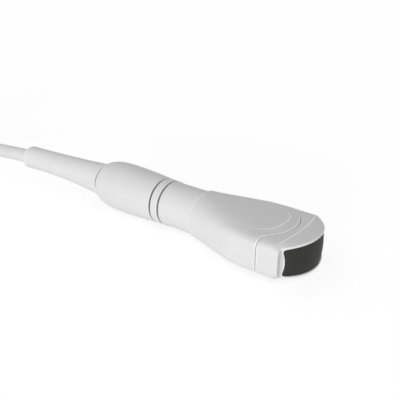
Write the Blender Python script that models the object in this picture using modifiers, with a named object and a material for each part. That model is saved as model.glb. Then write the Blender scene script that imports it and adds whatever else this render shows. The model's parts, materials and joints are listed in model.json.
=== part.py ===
"""Curved-array ultrasound transducer probe, lying on its broad side, with its cable folded into a hank.

The probe is modelled along its own axis: X runs from the cable to the lens, Y across the broad face and Z
through the thickness, with X = 0 at the rear seal groove. An empty then lays it down on the floor, Z = 0,
as it comes to rest, nose low. The cable, its hank, the tie and the plug are modelled where they lie.
"""
import math

import bpy
import bmesh
from mathutils import Matrix, Vector

MM = 0.001
GAP = 0.3 * MM  # clearance between two pieces that touch
TINY = 0.00001  # merge distance
ROUND_STEPS = 32  # sides of a turned piece
SECTION_POINTS = 32  # points round a section of the head
CORNER_CROWDING = 0.08  # radians that its points move towards its corners

# Acoustic stack, all of it curved about one upright line through the array centre
LENS_RADIUS = 23.1 * MM
LENS_HALF_ANGLE = math.radians(48.6)
LENS_END_HALF_HEIGHT = 6.4 * MM
LENS_BARREL = 0.75 * MM  # how much higher the lens is in the middle than at its ends, each way
LENS_CROWN = 0.5 * MM
LENS_THICKNESS = 1.6 * MM
MATCHING_THICKNESS = 0.4 * MM
PIEZO_THICKNESS = 0.9 * MM
BACKING_DEPTH = 9.0 * MM
STACK_HALF_ANGLE = math.radians(46.0)
STACK_HALF_HEIGHT = 5.0 * MM
ELEMENTS = 28
KERF_WIDTH = 0.16 * MM
KERF_DEPTH = 0.6 * MM

# Head: the main shell and the nose piece share one outer form
WALL = 1.5 * MM
SPIGOT_WALL = 1.0 * MM
CHEEK_WALL = 3.5 * MM
HEAD_PITCH = 3.9 * MM  # between two sections of the head's outer form
HOLLOW_PITCH = 5.0 * MM
NECK_SEAM_X = 25.8 * MM
HEAD_LENGTH = 43.1 * MM  # from the neck seam to where the parting line reaches the sides
NOSE_LENGTH = 19.0 * MM  # from there to the lens's foremost point
HEAD_START_RADIUS = 12.05 * MM
HEAD_BEAD = 0.45 * MM
HEAD_HALF_WIDTH = 20.6 * MM
HEAD_HALF_THICKNESS = 8.9 * MM
NOSE_TAPER = 0.75 * MM  # how much narrower the nose is on each side
RIM_END_HALF_THICKNESS = 7.2 * MM
RIM_BARREL = 0.9 * MM
CREASE_HALF_THICKNESS = 8.7 * MM
CREASE_BOW = 2.6 * MM
NOSE_SQUARENESS = 7.5
# The head's flare: share of the way to the parting, shares of the widening and thinning, squareness
HEAD_FLARE = [
    (0.0, 0.115, 0.0, 2.0),
    (0.08, 0.185, 0.12, 2.2),
    (0.25, 0.38, 0.33, 2.8),
    (0.44, 0.645, 0.52, 3.6),
    (0.63, 0.885, 0.70, 4.5),
    (0.83, 0.975, 0.86, 5.4),
    (1.0, 1.0, 1.0, 6.0),
]
PARTING_BULGE = 7.2 * MM
PARTING_HALF_WIDTH = 15.2 * MM
PARTING_POWER = 2.3
CREASE_FROM_PARTING = 10.6 * MM
CHEEK_FROM_PARTING = 10.6 * MM
LENS_PROUD = 0.2 * MM  # how far the lens stands out of its rim
DOME_END_FROM_PARTING = 2.0 * MM
DOME_HALF_WIDTH = 14.2 * MM
DOME_LENGTH = 13.0 * MM
DOME_POWER = 3.4
DOME_RISE = 0.6 * MM
DOME_EDGE_WIDTH = 5.0 * MM
DOME_RUN_IN = 24.0 * MM  # over which the dome grows out of the neck

# Neck, collar and seals
NECK_RADIUS = 11.4 * MM
NECK_BORE = 9.4 * MM
SPIGOT_RADIUS = 10.4 * MM
SPIGOT_LENGTH = 8.0 * MM
FRONT_SPIGOT_LENGTH = 5.5 * MM
GROOVE_WIDTH = 0.9 * MM
GROOVE_DEPTH = 0.5 * MM
COLLAR_LENGTH = 4.3 * MM
COLLAR_RADIUS = 12.0 * MM
LIP_LENGTH = 0.9 * MM
LIP_STEP = 0.25 * MM
SEAL_CROWN = 0.15 * MM

# Rear shell and strain relief
REAR_END_X = -41.6 * MM
REAR_END_RADIUS = 9.7 * MM
REAR_EDGE = 0.5 * MM
BULGE_X = -25.0 * MM
BULGE_RADIUS = 13.25 * MM
MOUTH_RADIUS = 8.2 * MM
MOUTH_LENGTH = 2.0 * MM
SOCKET_RELIEF = 1.0 * MM
BOOT_ROOT_RADIUS = 9.3 * MM
BOOT_WAIST_RADIUS = 6.7 * MM
BOOT_END_RADIUS = 7.0 * MM
BOOT_LENGTH = 69.7 * MM
BOOT_FLARE_POWER = 2.4
BOOT_DROOP = 1.65 * MM
BOOT_DROOP_POWER = 2.6
BOOT_FLANGE_LENGTH = 1.8 * MM
BOOT_FLANGE_RISE = 0.8 * MM
BOOT_ROUNDING = 0.5 * MM
BOOT_LIP_LENGTH = 1.6 * MM

# How it comes to rest: the stretch of the head that may touch the floor, and the search's pitch
REST_REACH = 30.0 * MM
REST_PITCH = 1.0 * MM
REST_TRIES = 4

# Cable
CABLE_DIAMETER = 8.5 * MM
CABLE_RADIUS = CABLE_DIAMETER / 2
CORE_BUNDLE_RADIUS = 3.3 * MM

# Electronics
CHASSIS_THICKNESS = 1.4 * MM
CHASSIS_HALF_WIDTH = 8.1 * MM
CHASSIS_REAR_X = -22.0 * MM
BOARD_THICKNESS = 1.2 * MM
BOARD_HALF_WIDTH = 7.6 * MM
BOARD_FRONT_X = 46.0 * MM
SHIELD_THICKNESS = 0.4 * MM
SHIELD_LENGTH = 34.0 * MM
FLEX_THICKNESS = 0.3 * MM
CARRIER_LENGTH = 12.5 * MM
CARRIER_HALF_WIDTH = 11.0 * MM
CARRIER_HALF_HEIGHT = 5.0 * MM
FLEX_SOCKET_LENGTH = 5.0 * MM
FLEX_SOCKET_WIDTH = 13.0 * MM
FLEX_SOCKET_HEIGHT = 1.8 * MM
WIRE_HEADER_LENGTH = 6.0 * MM
WIRE_HEADER_WIDTH = 12.0 * MM
WIRE_HEADER_HEIGHT = 1.6 * MM
SOCKET_FROM_EDGE = 2.0 * MM
BOARD_SCREW_FROM_REAR = 20.0 * MM
BOARD_SCREW_FROM_FRONT = 16.0 * MM
BOARD_SCREW_RADIUS = 0.8 * MM
BOARD_SCREW_HEAD_RADIUS = 1.5 * MM
BOARD_SCREW_HEAD_HEIGHT = 0.8 * MM
CLAMP_LENGTH = 7.0 * MM
CLAMP_RADIUS = 9.0 * MM
CLAMP_SCREW_RADIUS = 1.0 * MM
CLAMP_SCREW_OFFSET = 6.7 * MM
FERRULE_LENGTH = 3.0 * MM
FERRULE_WALL = 0.6 * MM

# Hank: three layers of two lanes, wound about two fold centres
HANK_LAYERS = 3
HANK_LANES = 2
HANK_FOLD_RADIUS = 25.5 * MM
HANK_STRAIGHT = 75.0 * MM
HANK_FRONT_FOLD_X = -223.0 * MM
HANK_FRONT_FOLD_Y = -17.0 * MM
TIE_THICKNESS = 1.2 * MM
TIE_WIDTH = 14.0 * MM
TIE_FROM_FRONT_FOLD = 17.0 * MM

# The cable from the strain relief to the hank, sagging gently down to the floor
CABLE_ROUTE = [
    (-108.0, 0.0, 14.5),
    (-121.0, 0.0, 13.8),
    (-135.0, 0.1, 12.9),
    (-148.0, 0.6, 11.5),
    (-159.0, 1.7, 9.5),
    (-170.0, 3.8, 7.2),
    (-180.0, 6.6, 5.6),
    (-191.0, 10.6, 4.8),
]

# Plug, on top of the hank
PLUG_HEADING = math.radians(20.0)
PLUG_BODY_LENGTH = 44.0 * MM
PLUG_BODY_WIDTH = 32.0 * MM
PLUG_BODY_HEIGHT = 19.0 * MM
PLUG_WALL = 2.0 * MM
PLUG_ROUNDING = 1.6 * MM
PLUG_SHROUD_LENGTH = 8.0 * MM
PLUG_SHROUD_HALF_WIDTH = 12.5 * MM
PLUG_SHROUD_HALF_HEIGHT = 6.0 * MM
PLUG_SHROUD_THICKNESS = 0.9 * MM
PLUG_SHROUD_DEPTH = 6.0 * MM
PLUG_SIDE_WALL = 5.0 * MM
PLUG_CONTACT_RECESS = 1.5 * MM
PLUG_TAIL = 10.0 * MM
PLUG_RELIEF_LENGTH = 18.0 * MM
PLUG_RELIEF_RADIUS = 6.6 * MM
PLUG_RELIEF_TIP_RADIUS = 5.2 * MM
PLUG_RELIEF_NECK = 4.6 * MM
PLUG_RELIEF_ROUNDING = 0.4 * MM
PLUG_FLANGE_LENGTH = 1.5 * MM
PLUG_FLANGE_RISE = 1.2 * MM
PLUG_SCREW_RADIUS = 1.1 * MM
PLUG_SCREW_SPACING = 26.0 * MM
PLUG_BOARD_LENGTH = 22.0 * MM
TAIL_START_ANGLE = math.radians(-155.0)
TAIL_STEPS = 8

PARTING_SIDE_X = NECK_SEAM_X + HEAD_LENGTH
DOME_END_X = PARTING_SIDE_X + DOME_END_FROM_PARTING
CREASE_X = PARTING_SIDE_X + CREASE_FROM_PARTING
CHEEK_X = PARTING_SIDE_X + CHEEK_FROM_PARTING
LENS_APEX_X = PARTING_SIDE_X + NOSE_LENGTH
LENS_CENTRE_X = LENS_APEX_X - LENS_RADIUS
NOSE_FRONT_RADIUS = LENS_RADIUS - LENS_PROUD
NOSE_HALF_WIDTH = HEAD_HALF_WIDTH - NOSE_TAPER
COLLAR_X = GROOVE_WIDTH / 2 + GAP
FRONT_GROOVE_X = COLLAR_X + COLLAR_LENGTH
LIP_X = FRONT_GROOVE_X + GROOVE_WIDTH
REAR_SHELL_FRONT_X = -GROOVE_WIDTH / 2
BOOT_END_X = REAR_END_X - BOOT_LENGTH
CAVITY_HALF_HEIGHT = STACK_HALF_HEIGHT + FLEX_THICKNESS + 2 * GAP
HANK_BOTTOM = TIE_THICKNESS + GAP
HANK_TOP = HANK_BOTTOM + HANK_LAYERS * CABLE_DIAMETER
HANK_INNER_RADIUS = HANK_FOLD_RADIUS - CABLE_RADIUS
HANK_OUTER_RADIUS = HANK_INNER_RADIUS + HANK_LANES * CABLE_DIAMETER
PLUG_BOTTOM = HANK_TOP + TIE_THICKNESS + 2 * GAP
PLUG_CENTRE_Z = PLUG_BOTTOM + PLUG_BODY_HEIGHT / 2


def collection(name):
    """A new collection in the scene."""
    found = bpy.data.collections.new(name)
    bpy.context.scene.collection.children.link(found)
    return found


def material(name, colour, roughness, metallic=0.0):
    """A Principled material with one linear colour."""
    made = bpy.data.materials.new(name)
    made.use_nodes = True
    shader = made.node_tree.nodes["Principled BSDF"]
    shader.inputs["Base Color"].default_value = (*colour, 1.0)
    shader.inputs["Roughness"].default_value = roughness
    shader.inputs["Metallic"].default_value = metallic
    return made


for old in list(bpy.data.objects):
    bpy.data.objects.remove(old, do_unlink=True)

PARTS = collection("ultrasound_probe")
CUTTERS = collection("cutters")

SHELL_GREY = material("shell_grey", (0.72, 0.72, 0.71), 0.42)
NOSE_GREY = material("nose_grey", (0.74, 0.74, 0.73), 0.38)
BOOT_GREY = material("boot_grey", (0.68, 0.68, 0.67), 0.6)
CABLE_GREY = material("cable_grey", (0.66, 0.66, 0.65), 0.55)
SEAL_GREY = material("seal_grey", (0.13, 0.13, 0.13), 0.7)
LENS_DARK = material("lens_silicone", (0.043, 0.043, 0.04), 0.45)
LAYER_TAN = material("matching_resin", (0.55, 0.42, 0.24), 0.5)
CERAMIC = material("piezo_ceramic", (0.42, 0.36, 0.26), 0.55)
BACKING_BLACK = material("backing_resin", (0.05, 0.05, 0.055), 0.7)
ALUMINIUM = material("aluminium", (0.62, 0.63, 0.64), 0.35, 1.0)
COPPER = material("shield_copper", (0.72, 0.42, 0.26), 0.35, 1.0)
STEEL = material("screw_steel", (0.6, 0.6, 0.6), 0.3, 1.0)
BOARD_GREEN = material("board_green", (0.03, 0.2, 0.08), 0.45)
FLEX_AMBER = material("flex_amber", (0.5, 0.22, 0.04), 0.4)
SOCKET_BLACK = material("socket_black", (0.03, 0.03, 0.03), 0.5)
TIE_BLACK = material("tie_fabric", (0.04, 0.04, 0.045), 0.9)

probe = bpy.data.objects.new("probe_axis", None)
PARTS.objects.link(probe)


def add_object(name, mesh, paint, parent=probe, folder=PARTS):
    """Link a mesh as an object; a cutter is drawn as wire and stays out of renders."""
    obj = bpy.data.objects.new(name, mesh)
    folder.objects.link(obj)
    obj.parent = parent
    if paint:
        mesh.materials.append(paint)
    if folder == CUTTERS:
        obj.display_type = "WIRE"
        obj.hide_render = True
    return obj


def smooth(obj, angle=35.0):
    """Round surfaces shade smooth, edges sharper than the angle stay crisp."""
    obj.data.shade_smooth()
    obj.data.set_sharp_from_angle(angle=math.radians(angle))
    return obj


def mesh_from(bm, name):
    """Finish a bmesh with its faces pointing out."""
    bmesh.ops.recalc_face_normals(bm, faces=bm.faces)
    mesh = bpy.data.meshes.new(name)
    bm.to_mesh(mesh)
    bm.free()
    return mesh


def boolean(obj, cutter, operation="DIFFERENCE"):
    """Cut, join or intersect with another object."""
    modifier = obj.modifiers.new(operation.lower(), "BOOLEAN")
    modifier.operation = operation
    modifier.solver = "EXACT"
    modifier.object = cutter
    return modifier


def through(points, steps):
    """Points on a smooth curve that passes through the given ones."""
    found = []
    last = len(points) - 1
    for i in range(last):
        before = Vector(points[max(i - 1, 0)])
        start = Vector(points[i])
        end = Vector(points[i + 1])
        after = Vector(points[min(i + 2, last)])
        for k in range(steps):
            t = k / steps
            along = (end - before) * 0.5 if i > 0 else (end - start)
            leaving = (after - start) * 0.5 if i + 1 < last else (end - start)
            found.append(
                start * (2 * t**3 - 3 * t**2 + 1)
                + along * (t**3 - 2 * t**2 + t)
                + end * (3 * t**2 - 2 * t**3)
                + leaving * (t**3 - t**2)
            )
    found.append(Vector(points[last]))
    return found


def turned(name, profile, paint, steps=ROUND_STEPS, closed=True, folder=PARTS, parent=probe):
    """Turn a profile of (x, radius) points about X: outer side from front to rear, then the bore back."""
    mesh = bpy.data.meshes.new(name)
    count = len(profile)
    edges = [(i, i + 1) for i in range(count - 1)]
    if closed:
        edges.append((count - 1, 0))
    mesh.from_pydata([(radius, 0.0, x) for x, radius in profile], edges, [])
    obj = add_object(name, mesh, paint, parent, folder)
    obj.rotation_euler = (0.0, math.pi / 2, 0.0)
    screw = obj.modifiers.new("turn", "SCREW")
    screw.axis = "Z"
    screw.steps = steps
    screw.render_steps = steps
    screw.use_merge_vertices = True
    screw.merge_threshold = TINY
    screw.use_smooth_shade = True
    return obj


def loft(name, rings, paint, hollow=False, folder=PARTS, parent=probe):
    """Skin rings of equal point counts: capped at both ends, or closed on itself when hollow."""
    bm = bmesh.new()
    loops = [[bm.verts.new(point) for point in ring] for ring in rings]
    pairs = list(zip(loops, loops[1:]))
    if hollow:
        pairs.append((loops[-1], loops[0]))
    for one, two in pairs:
        for i in range(len(one)):
            j = (i + 1) % len(one)
            bm.faces.new((one[i], one[j], two[j], two[i]))
    if not hollow:
        bm.faces.new(list(reversed(loops[0])))
        bm.faces.new(loops[-1])
    return smooth(add_object(name, mesh_from(bm, name), paint, parent, folder))


def block(name, low, high, paint, round_by=0.0, folder=PARTS, parent=probe):
    """A box between two corners, with its edges rounded."""
    bm = bmesh.new()
    bmesh.ops.create_cube(bm, size=1.0)
    low = Vector(low)
    high = Vector(high)
    size = high - low
    bmesh.ops.scale(bm, vec=size, verts=bm.verts)
    bmesh.ops.translate(bm, vec=(low + high) / 2, verts=bm.verts)
    obj = add_object(name, mesh_from(bm, name), paint, parent, folder)
    if round_by:
        bevel = obj.modifiers.new("round", "BEVEL")
        bevel.width = round_by
        bevel.segments = 2
    return obj


def rod(name, start, end, radius, paint, steps=16, folder=PARTS, parent=probe):
    """A straight cylinder between two points."""
    start = Vector(start)
    end = Vector(end)
    bm = bmesh.new()
    length = (end - start).length
    bmesh.ops.create_cone(
        bm, cap_ends=True, segments=steps, radius1=radius, radius2=radius, depth=length
    )
    turn = (end - start).to_track_quat("Z", "Y").to_matrix().to_4x4()
    bmesh.ops.transform(bm, matrix=Matrix.Translation((start + end) / 2) @ turn, verts=bm.verts)
    return smooth(add_object(name, mesh_from(bm, name), paint, parent, folder))


def prism(name, outline, low, high, paint=None, folder=PARTS, parent=probe):
    """Push a flat outline of (x, y) points up from one height to another."""
    return loft(
        name,
        [[(x, y, low) for x, y in outline], [(x, y, high) for x, y in outline]],
        paint,
        folder=folder,
        parent=parent,
    )


def superellipse(x, half_width, half_thickness, power, count=SECTION_POINTS):
    """A closed section at x, round for power 2 and squarer above, with more points at its corners."""
    ring = []
    for i in range(count):
        angle = 2 * math.pi * (i + 0.5) / count
        angle += CORNER_CROWDING * math.sin(4 * angle)
        across = math.cos(angle)
        up = math.sin(angle)
        reach = (abs(across) ** power + abs(up) ** power) ** (-1 / power)
        ring.append(Vector((x, half_width * across * reach, half_thickness * up * reach)))
    return ring


def head_size(x):
    """Half width, half thickness and squareness of the head's outer form at x."""
    neck = NECK_SEAM_X
    span = PARTING_SIDE_X - neck
    widen = HEAD_HALF_WIDTH - HEAD_START_RADIUS
    thin = HEAD_START_RADIUS - HEAD_HALF_THICKNESS
    stations = []
    for along, wider, thinner, power in HEAD_FLARE:
        half_width = HEAD_START_RADIUS + wider * widen
        stations.append((neck + along * span, half_width, HEAD_START_RADIUS - thinner * thin, power))
    stations += [
        (CREASE_X, NOSE_HALF_WIDTH, CREASE_HALF_THICKNESS, NOSE_SQUARENESS),
        (LENS_APEX_X, NOSE_HALF_WIDTH, CREASE_HALF_THICKNESS, NOSE_SQUARENESS),
    ]
    if x >= CREASE_X:
        (x0, *one), (x1, *two) = stations[-2:]
        t = (x - x0) / (x1 - x0)
        return [a + (b - a) * t for a, b in zip(one, two)]
    last = max(i for i in range(len(stations) - 1) if stations[i][0] <= x)
    (x0, *one), (x1, *two) = stations[last : last + 2]
    before = stations[max(last - 1, 0)]
    after = stations[min(last + 2, len(stations) - 1)]
    t = (x - x0) / (x1 - x0)
    sizes = []
    for k, (a, b) in enumerate(zip(one, two)):
        rise_in = (b - before[k + 1]) / (x1 - before[0]) * (x1 - x0)
        rise_out = (after[k + 1] - a) / (after[0] - x0) * (x1 - x0)
        sizes.append(
            a * (2 * t**3 - 3 * t**2 + 1)
            + rise_in * (t**3 - 2 * t**2 + t)
            + b * (3 * t**2 - 2 * t**3)
            + rise_out * (t**3 - t**2)
        )
    return sizes


def parting_x(y):
    """Where the parting line crosses the broad faces at y."""
    share = min(abs(y) / PARTING_HALF_WIDTH, 1.0)
    return PARTING_SIDE_X + PARTING_BULGE * (1 - share**PARTING_POWER)


def front_x(y):
    """Where the nose piece ends at y: on its arc, or at the flat cheek beside it."""
    return max(CHEEK_X, LENS_CENTRE_X + math.sqrt(max(0.0, NOSE_FRONT_RADIUS**2 - y**2)))


def dome_rise(x, y):
    """How far the domed middle of a broad face stands out: up to a U-shaped edge, fading to the sides."""
    share = min(abs(y) / DOME_HALF_WIDTH, 1.0)
    edge = DOME_END_X - DOME_LENGTH * share**DOME_POWER
    ahead = min(max((x - edge) / DOME_EDGE_WIDTH, 0.0), 1.0)
    grown = min(max((x - NECK_SEAM_X) / DOME_RUN_IN, 0.0), 1.0)
    return DOME_RISE * grown * (1.0 - ahead) * (1.0 - share**2)


def head_section(x, inset=0.0):
    """The head's outer form at x, moved in by inset.

    Its broad faces have a domed middle, and fall away from the nose's crease to the rim round the lens.
    """
    half_width, half_thickness, power = head_size(x)
    ring = superellipse(x, half_width - inset, half_thickness - inset, power)
    for point in ring:
        crease = CREASE_X - CREASE_BOW * (point.y / NOSE_HALF_WIDTH) ** 2
        past = min(max(0.0, (x - crease) / (front_x(point.y) - crease)), 1.2)
        across = min(abs(point.y) / (LENS_RADIUS * math.sin(LENS_HALF_ANGLE)), 1.0)
        rim = RIM_END_HALF_THICKNESS + RIM_BARREL * (1 - across**2)
        keep = 1.0 - (1.0 - rim / CREASE_HALF_THICKNESS) * past
        point.z *= keep * (1.0 + dome_rise(x, point.y) / half_thickness)
    return ring


def head_stations(start, end, pitch):
    """Evenly spaced places along the head, the crease among them."""
    count = max(1, round((end - start) / pitch))
    found = [start + (end - start) * i / count for i in range(count + 1)]
    if start < CREASE_X < end:
        found = [x for x in found if abs(x - CREASE_X) > 0.3 * pitch] + [CREASE_X]
    return sorted(found)


def arc_points(radius, half_angle, count, centre_x=LENS_CENTRE_X):
    """Points on an arc about the array centre, from -Y to +Y."""
    return [
        (
            centre_x + radius * math.cos(-half_angle + 2 * half_angle * i / count),
            radius * math.sin(-half_angle + 2 * half_angle * i / count),
        )
        for i in range(count + 1)
    ]


def arc_block(name, inner, outer, half_height, half_angle, paint, count=24, folder=PARTS):
    """A curved slab between two radii about the array centre."""
    outline = arc_points(outer, half_angle, count) + arc_points(inner, half_angle, count)[::-1]
    return prism(name, outline, -half_height, half_height, paint, folder)


def lens_half_height(across):
    """Half the lens's height at a share of the way from its middle to its end."""
    return LENS_END_HALF_HEIGHT + LENS_BARREL * (1 - across**2)


def make_lens():
    """The silicone lens: thicker in the middle of its height, so that it bulges in both directions."""
    inner = LENS_RADIUS - LENS_THICKNESS
    levels = 6
    rings = []
    for x, y in arc_points(1.0, LENS_HALF_ANGLE, 24, 0.0):
        height = lens_half_height(y / math.sin(LENS_HALF_ANGLE))
        ring = []
        for k in range(levels + 1):
            level = 2 * k / levels - 1
            reach = LENS_RADIUS - LENS_CROWN * level**2
            ring.append((LENS_CENTRE_X + reach * x, reach * y, height * level))
        ring.append((LENS_CENTRE_X + inner * x, inner * y, height))
        ring.append((LENS_CENTRE_X + inner * x, inner * y, -height))
        rings.append(ring)
    return loft("acoustic_lens", rings, LENS_DARK)


def lens_window(seat, reach):
    """The opening that the lens lies in: its own form, larger all round by the clearance."""
    half_angle = LENS_HALF_ANGLE + GAP / seat
    rings = []
    for x, y in arc_points(1.0, half_angle, 24, 0.0):
        height = lens_half_height(y / math.sin(half_angle)) + GAP
        ring = []
        for radius, z in ((seat, -height), (reach, -height), (reach, height), (seat, height)):
            ring.append((LENS_CENTRE_X + radius * x, radius * y, z))
        rings.append(ring)
    return loft("lens_window", rings, None, folder=CUTTERS)


def make_stack():
    """Two matching layers, the diced ceramic and the backing block, one behind the other."""
    outer = LENS_RADIUS - LENS_THICKNESS - GAP
    for name in ("matching_layer_outer", "matching_layer_inner"):
        inner = outer - MATCHING_THICKNESS
        arc_block(name, inner, outer, STACK_HALF_HEIGHT, STACK_HALF_ANGLE, LAYER_TAN)
        outer = inner - GAP
    inner = outer - PIEZO_THICKNESS
    outline = arc_points(inner, STACK_HALF_ANGLE, ELEMENTS)[::-1]
    pitch = 2 * STACK_HALF_ANGLE / ELEMENTS
    kerf = KERF_WIDTH / outer / 2
    for i in range(ELEMENTS):
        start = -STACK_HALF_ANGLE + pitch * i
        trim_start = kerf if i else 0.0
        trim_end = kerf if i < ELEMENTS - 1 else 0.0
        corners = [(start + trim_start, outer), (start + pitch - trim_end, outer)]
        if i < ELEMENTS - 1:
            corners.append((start + pitch - kerf, outer - KERF_DEPTH))
            corners.append((start + pitch + kerf, outer - KERF_DEPTH))
        for angle, radius in corners:
            outline.append((LENS_CENTRE_X + radius * math.cos(angle), radius * math.sin(angle)))
    prism("piezo_array", outline, -STACK_HALF_HEIGHT, STACK_HALF_HEIGHT, CERAMIC)
    outer = inner - GAP
    inner = outer - BACKING_DEPTH
    arc_block("backing_block", inner, outer, STACK_HALF_HEIGHT, STACK_HALF_ANGLE, BACKING_BLACK)
    return LENS_CENTRE_X + inner * math.cos(STACK_HALF_ANGLE)


def parting_outline(shift):
    """Plan of everything ahead of the parting line, which bows forward across the broad faces."""
    bow = []
    steps = 16
    for i in range(steps + 1):
        y = PARTING_HALF_WIDTH * (2 * i / steps - 1)
        bow.append((parting_x(y) + shift, y))
    side = 2 * HEAD_HALF_WIDTH
    front = LENS_APEX_X + HEAD_HALF_WIDTH
    return [(front, -side), (front, side), (bow[-1][0], side)] + bow[::-1] + [(bow[0][0], -side)]


def front_outline():
    """Plan of the nose piece: an arc just behind the lens face, ending in two flat cheeks."""
    arc = arc_points(NOSE_FRONT_RADIUS, math.acos((CHEEK_X - LENS_CENTRE_X) / NOSE_FRONT_RADIUS), 28)
    side = 2 * HEAD_HALF_WIDTH
    rear = NECK_SEAM_X
    return [(rear, side), (rear, -side), (CHEEK_X, -side)] + arc + [(CHEEK_X, side)]


def make_head():
    """The main shell and the nose piece, cut from one outer form along the bowed parting line."""
    tall = 3 * HEAD_HALF_WIDTH
    overlap = 5.0 * MM
    socket_end = NECK_SEAM_X + FRONT_SPIGOT_LENGTH + GAP
    shell_end = PARTING_SIDE_X + PARTING_BULGE + overlap
    bead_start = NECK_SEAM_X + GAP
    outer = [head_section(bead_start, HEAD_BEAD)]
    places = head_stations(bead_start + HEAD_BEAD, LENS_APEX_X + HEAD_PITCH, HEAD_PITCH)
    outer += [head_section(x) for x in places if x < shell_end]
    inner_places = head_stations(socket_end + WALL, shell_end, HOLLOW_PITCH)
    inner = [head_section(x, WALL) for x in inner_places]
    socket = SPIGOT_RADIUS + GAP
    mouth = [superellipse(x, socket, socket, 2.0) for x in (NECK_SEAM_X + GAP, socket_end)]
    shell = loft("head_shell", outer + inner[::-1] + mouth[::-1], SHELL_GREY, hollow=True)
    ahead = prism("ahead_of_shell", parting_outline(0.0), -tall, tall, None, CUTTERS)
    boolean(shell, ahead)

    spigot_start = PARTING_SIDE_X - overlap
    nose = loft("nose_piece", [head_section(x) for x in places if x > spigot_start], NOSE_GREY)
    nose_side = prism("ahead_of_parting", parting_outline(GAP), -tall, tall, None, CUTTERS)
    boolean(nose, nose_side, "INTERSECT")
    spigot_places = head_stations(spigot_start, PARTING_SIDE_X + PARTING_BULGE + WALL, HEAD_PITCH)
    spigot = loft(
        "nose_spigot", [head_section(x, WALL + GAP) for x in spigot_places], None, folder=CUTTERS
    )
    boolean(nose, spigot, "UNION")
    front = prism("nose_plan", front_outline(), -tall, tall, None, CUTTERS)
    boolean(nose, front, "INTERSECT")
    cavity_places = head_stations(spigot_start - WALL, CHEEK_X - CHEEK_WALL, HOLLOW_PITCH)
    cavity_rings = []
    for x in cavity_places:
        half_width, half_thickness, power = head_size(x)
        inset = WALL + GAP + SPIGOT_WALL
        cavity_rings.append(
            superellipse(x, half_width - inset, CAVITY_HALF_HEIGHT, power)
        )
    cavity = loft("nose_cavity", cavity_rings, None, folder=CUTTERS)
    boolean(nose, cavity)
    lens_seat = LENS_RADIUS - LENS_THICKNESS - GAP
    boolean(nose, lens_window(lens_seat, LENS_RADIUS + LENS_THICKNESS))
    stack_angle = STACK_HALF_ANGLE + GAP / lens_seat
    stack_rear = LENS_RADIUS - LENS_THICKNESS - BACKING_DEPTH - CARRIER_LENGTH / 2
    stack_window = arc_block(
        "stack_window", stack_rear, lens_seat + 2 * GAP, CAVITY_HALF_HEIGHT, stack_angle, None, 28, CUTTERS
    )
    boolean(nose, stack_window)


def make_neck():
    """The neck sleeve, the collar ring and the two seal rings that sit on its rear spigot."""
    seal_bore = SPIGOT_RADIUS + GAP
    lip_radius = COLLAR_RADIUS - LIP_STEP
    lip_end = LIP_X + LIP_LENGTH
    turned(
        "neck_sleeve",
        [
            (NECK_SEAM_X + FRONT_SPIGOT_LENGTH, SPIGOT_RADIUS),
            (NECK_SEAM_X, SPIGOT_RADIUS),
            (NECK_SEAM_X, NECK_RADIUS),
            (lip_end + 2 * LIP_STEP, NECK_RADIUS),
            (lip_end, lip_radius - LIP_STEP / 2),
            (lip_end - LIP_STEP, lip_radius),
            (LIP_X, lip_radius),
            (LIP_X, SPIGOT_RADIUS),
            (-SPIGOT_LENGTH, SPIGOT_RADIUS),
            (-SPIGOT_LENGTH, NECK_BORE),
            (NECK_SEAM_X + FRONT_SPIGOT_LENGTH, NECK_BORE),
        ],
        SHELL_GREY,
    )
    collar_front = FRONT_GROOVE_X - GAP
    turned(
        "collar_ring",
        [
            (collar_front, lip_radius),
            (COLLAR_X, COLLAR_RADIUS),
            (COLLAR_X, seal_bore),
            (collar_front, seal_bore),
        ],
        SHELL_GREY,
    )
    for name, centre in (("seal_ring_rear", 0.0), ("seal_ring_front", LIP_X - GROOVE_WIDTH / 2)):
        half = GROOVE_WIDTH / 2 - GAP / 2
        top = COLLAR_RADIUS - GROOVE_DEPTH
        turned(
            name,
            [
                (centre + half, top - SEAL_CROWN),
                (centre + half * 0.5, top),
                (centre - half * 0.5, top),
                (centre - half, top - SEAL_CROWN),
                (centre - half, seal_bore),
                (centre + half, seal_bore),
            ],
            SEAL_GREY,
        )


def rear_radius(x):
    """Outer radius of the rear shell: full at its bulge, drawn in round the strain relief."""
    if x >= BULGE_X:
        t = (x - BULGE_X) / (REAR_SHELL_FRONT_X - BULGE_X)
        drop = BULGE_RADIUS - COLLAR_RADIUS
        return BULGE_RADIUS - drop * (0.35 * t + 0.65 * t**2) * (1.0 - 0.25 * (1 - t) * t)
    t = (BULGE_X - x) / (BULGE_X - REAR_END_X)
    return REAR_END_RADIUS + (BULGE_RADIUS - REAR_END_RADIUS) * (1 - t**2.6) ** 0.62


def make_rear_shell():
    """The bulged rear shell, open at the front over the spigot and at the rear round the relief."""
    steps = 13
    places = [REAR_SHELL_FRONT_X - (REAR_SHELL_FRONT_X - REAR_END_X) * i / steps for i in range(steps)]
    outer = [(x, rear_radius(x)) for x in places]
    outer.append((REAR_END_X + REAR_EDGE, rear_radius(REAR_END_X + REAR_EDGE)))
    outer.append((REAR_END_X, REAR_END_RADIUS))
    mouth_x = REAR_END_X + MOUTH_LENGTH
    inner = [(REAR_END_X, MOUTH_RADIUS), (mouth_x, MOUTH_RADIUS)]
    for i in range(4):
        x = mouth_x + GAP + (BULGE_X - mouth_x) * i / 3
        inner.append((x, rear_radius(x) - WALL))
    socket = SPIGOT_RADIUS + GAP
    inner.append((-SPIGOT_LENGTH - 3 * SOCKET_RELIEF, rear_radius(-SPIGOT_LENGTH) - WALL))
    inner.append((-SPIGOT_LENGTH - SOCKET_RELIEF, socket))
    inner.append((REAR_SHELL_FRONT_X, socket))
    turned("rear_shell", outer + inner, SHELL_GREY)


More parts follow.
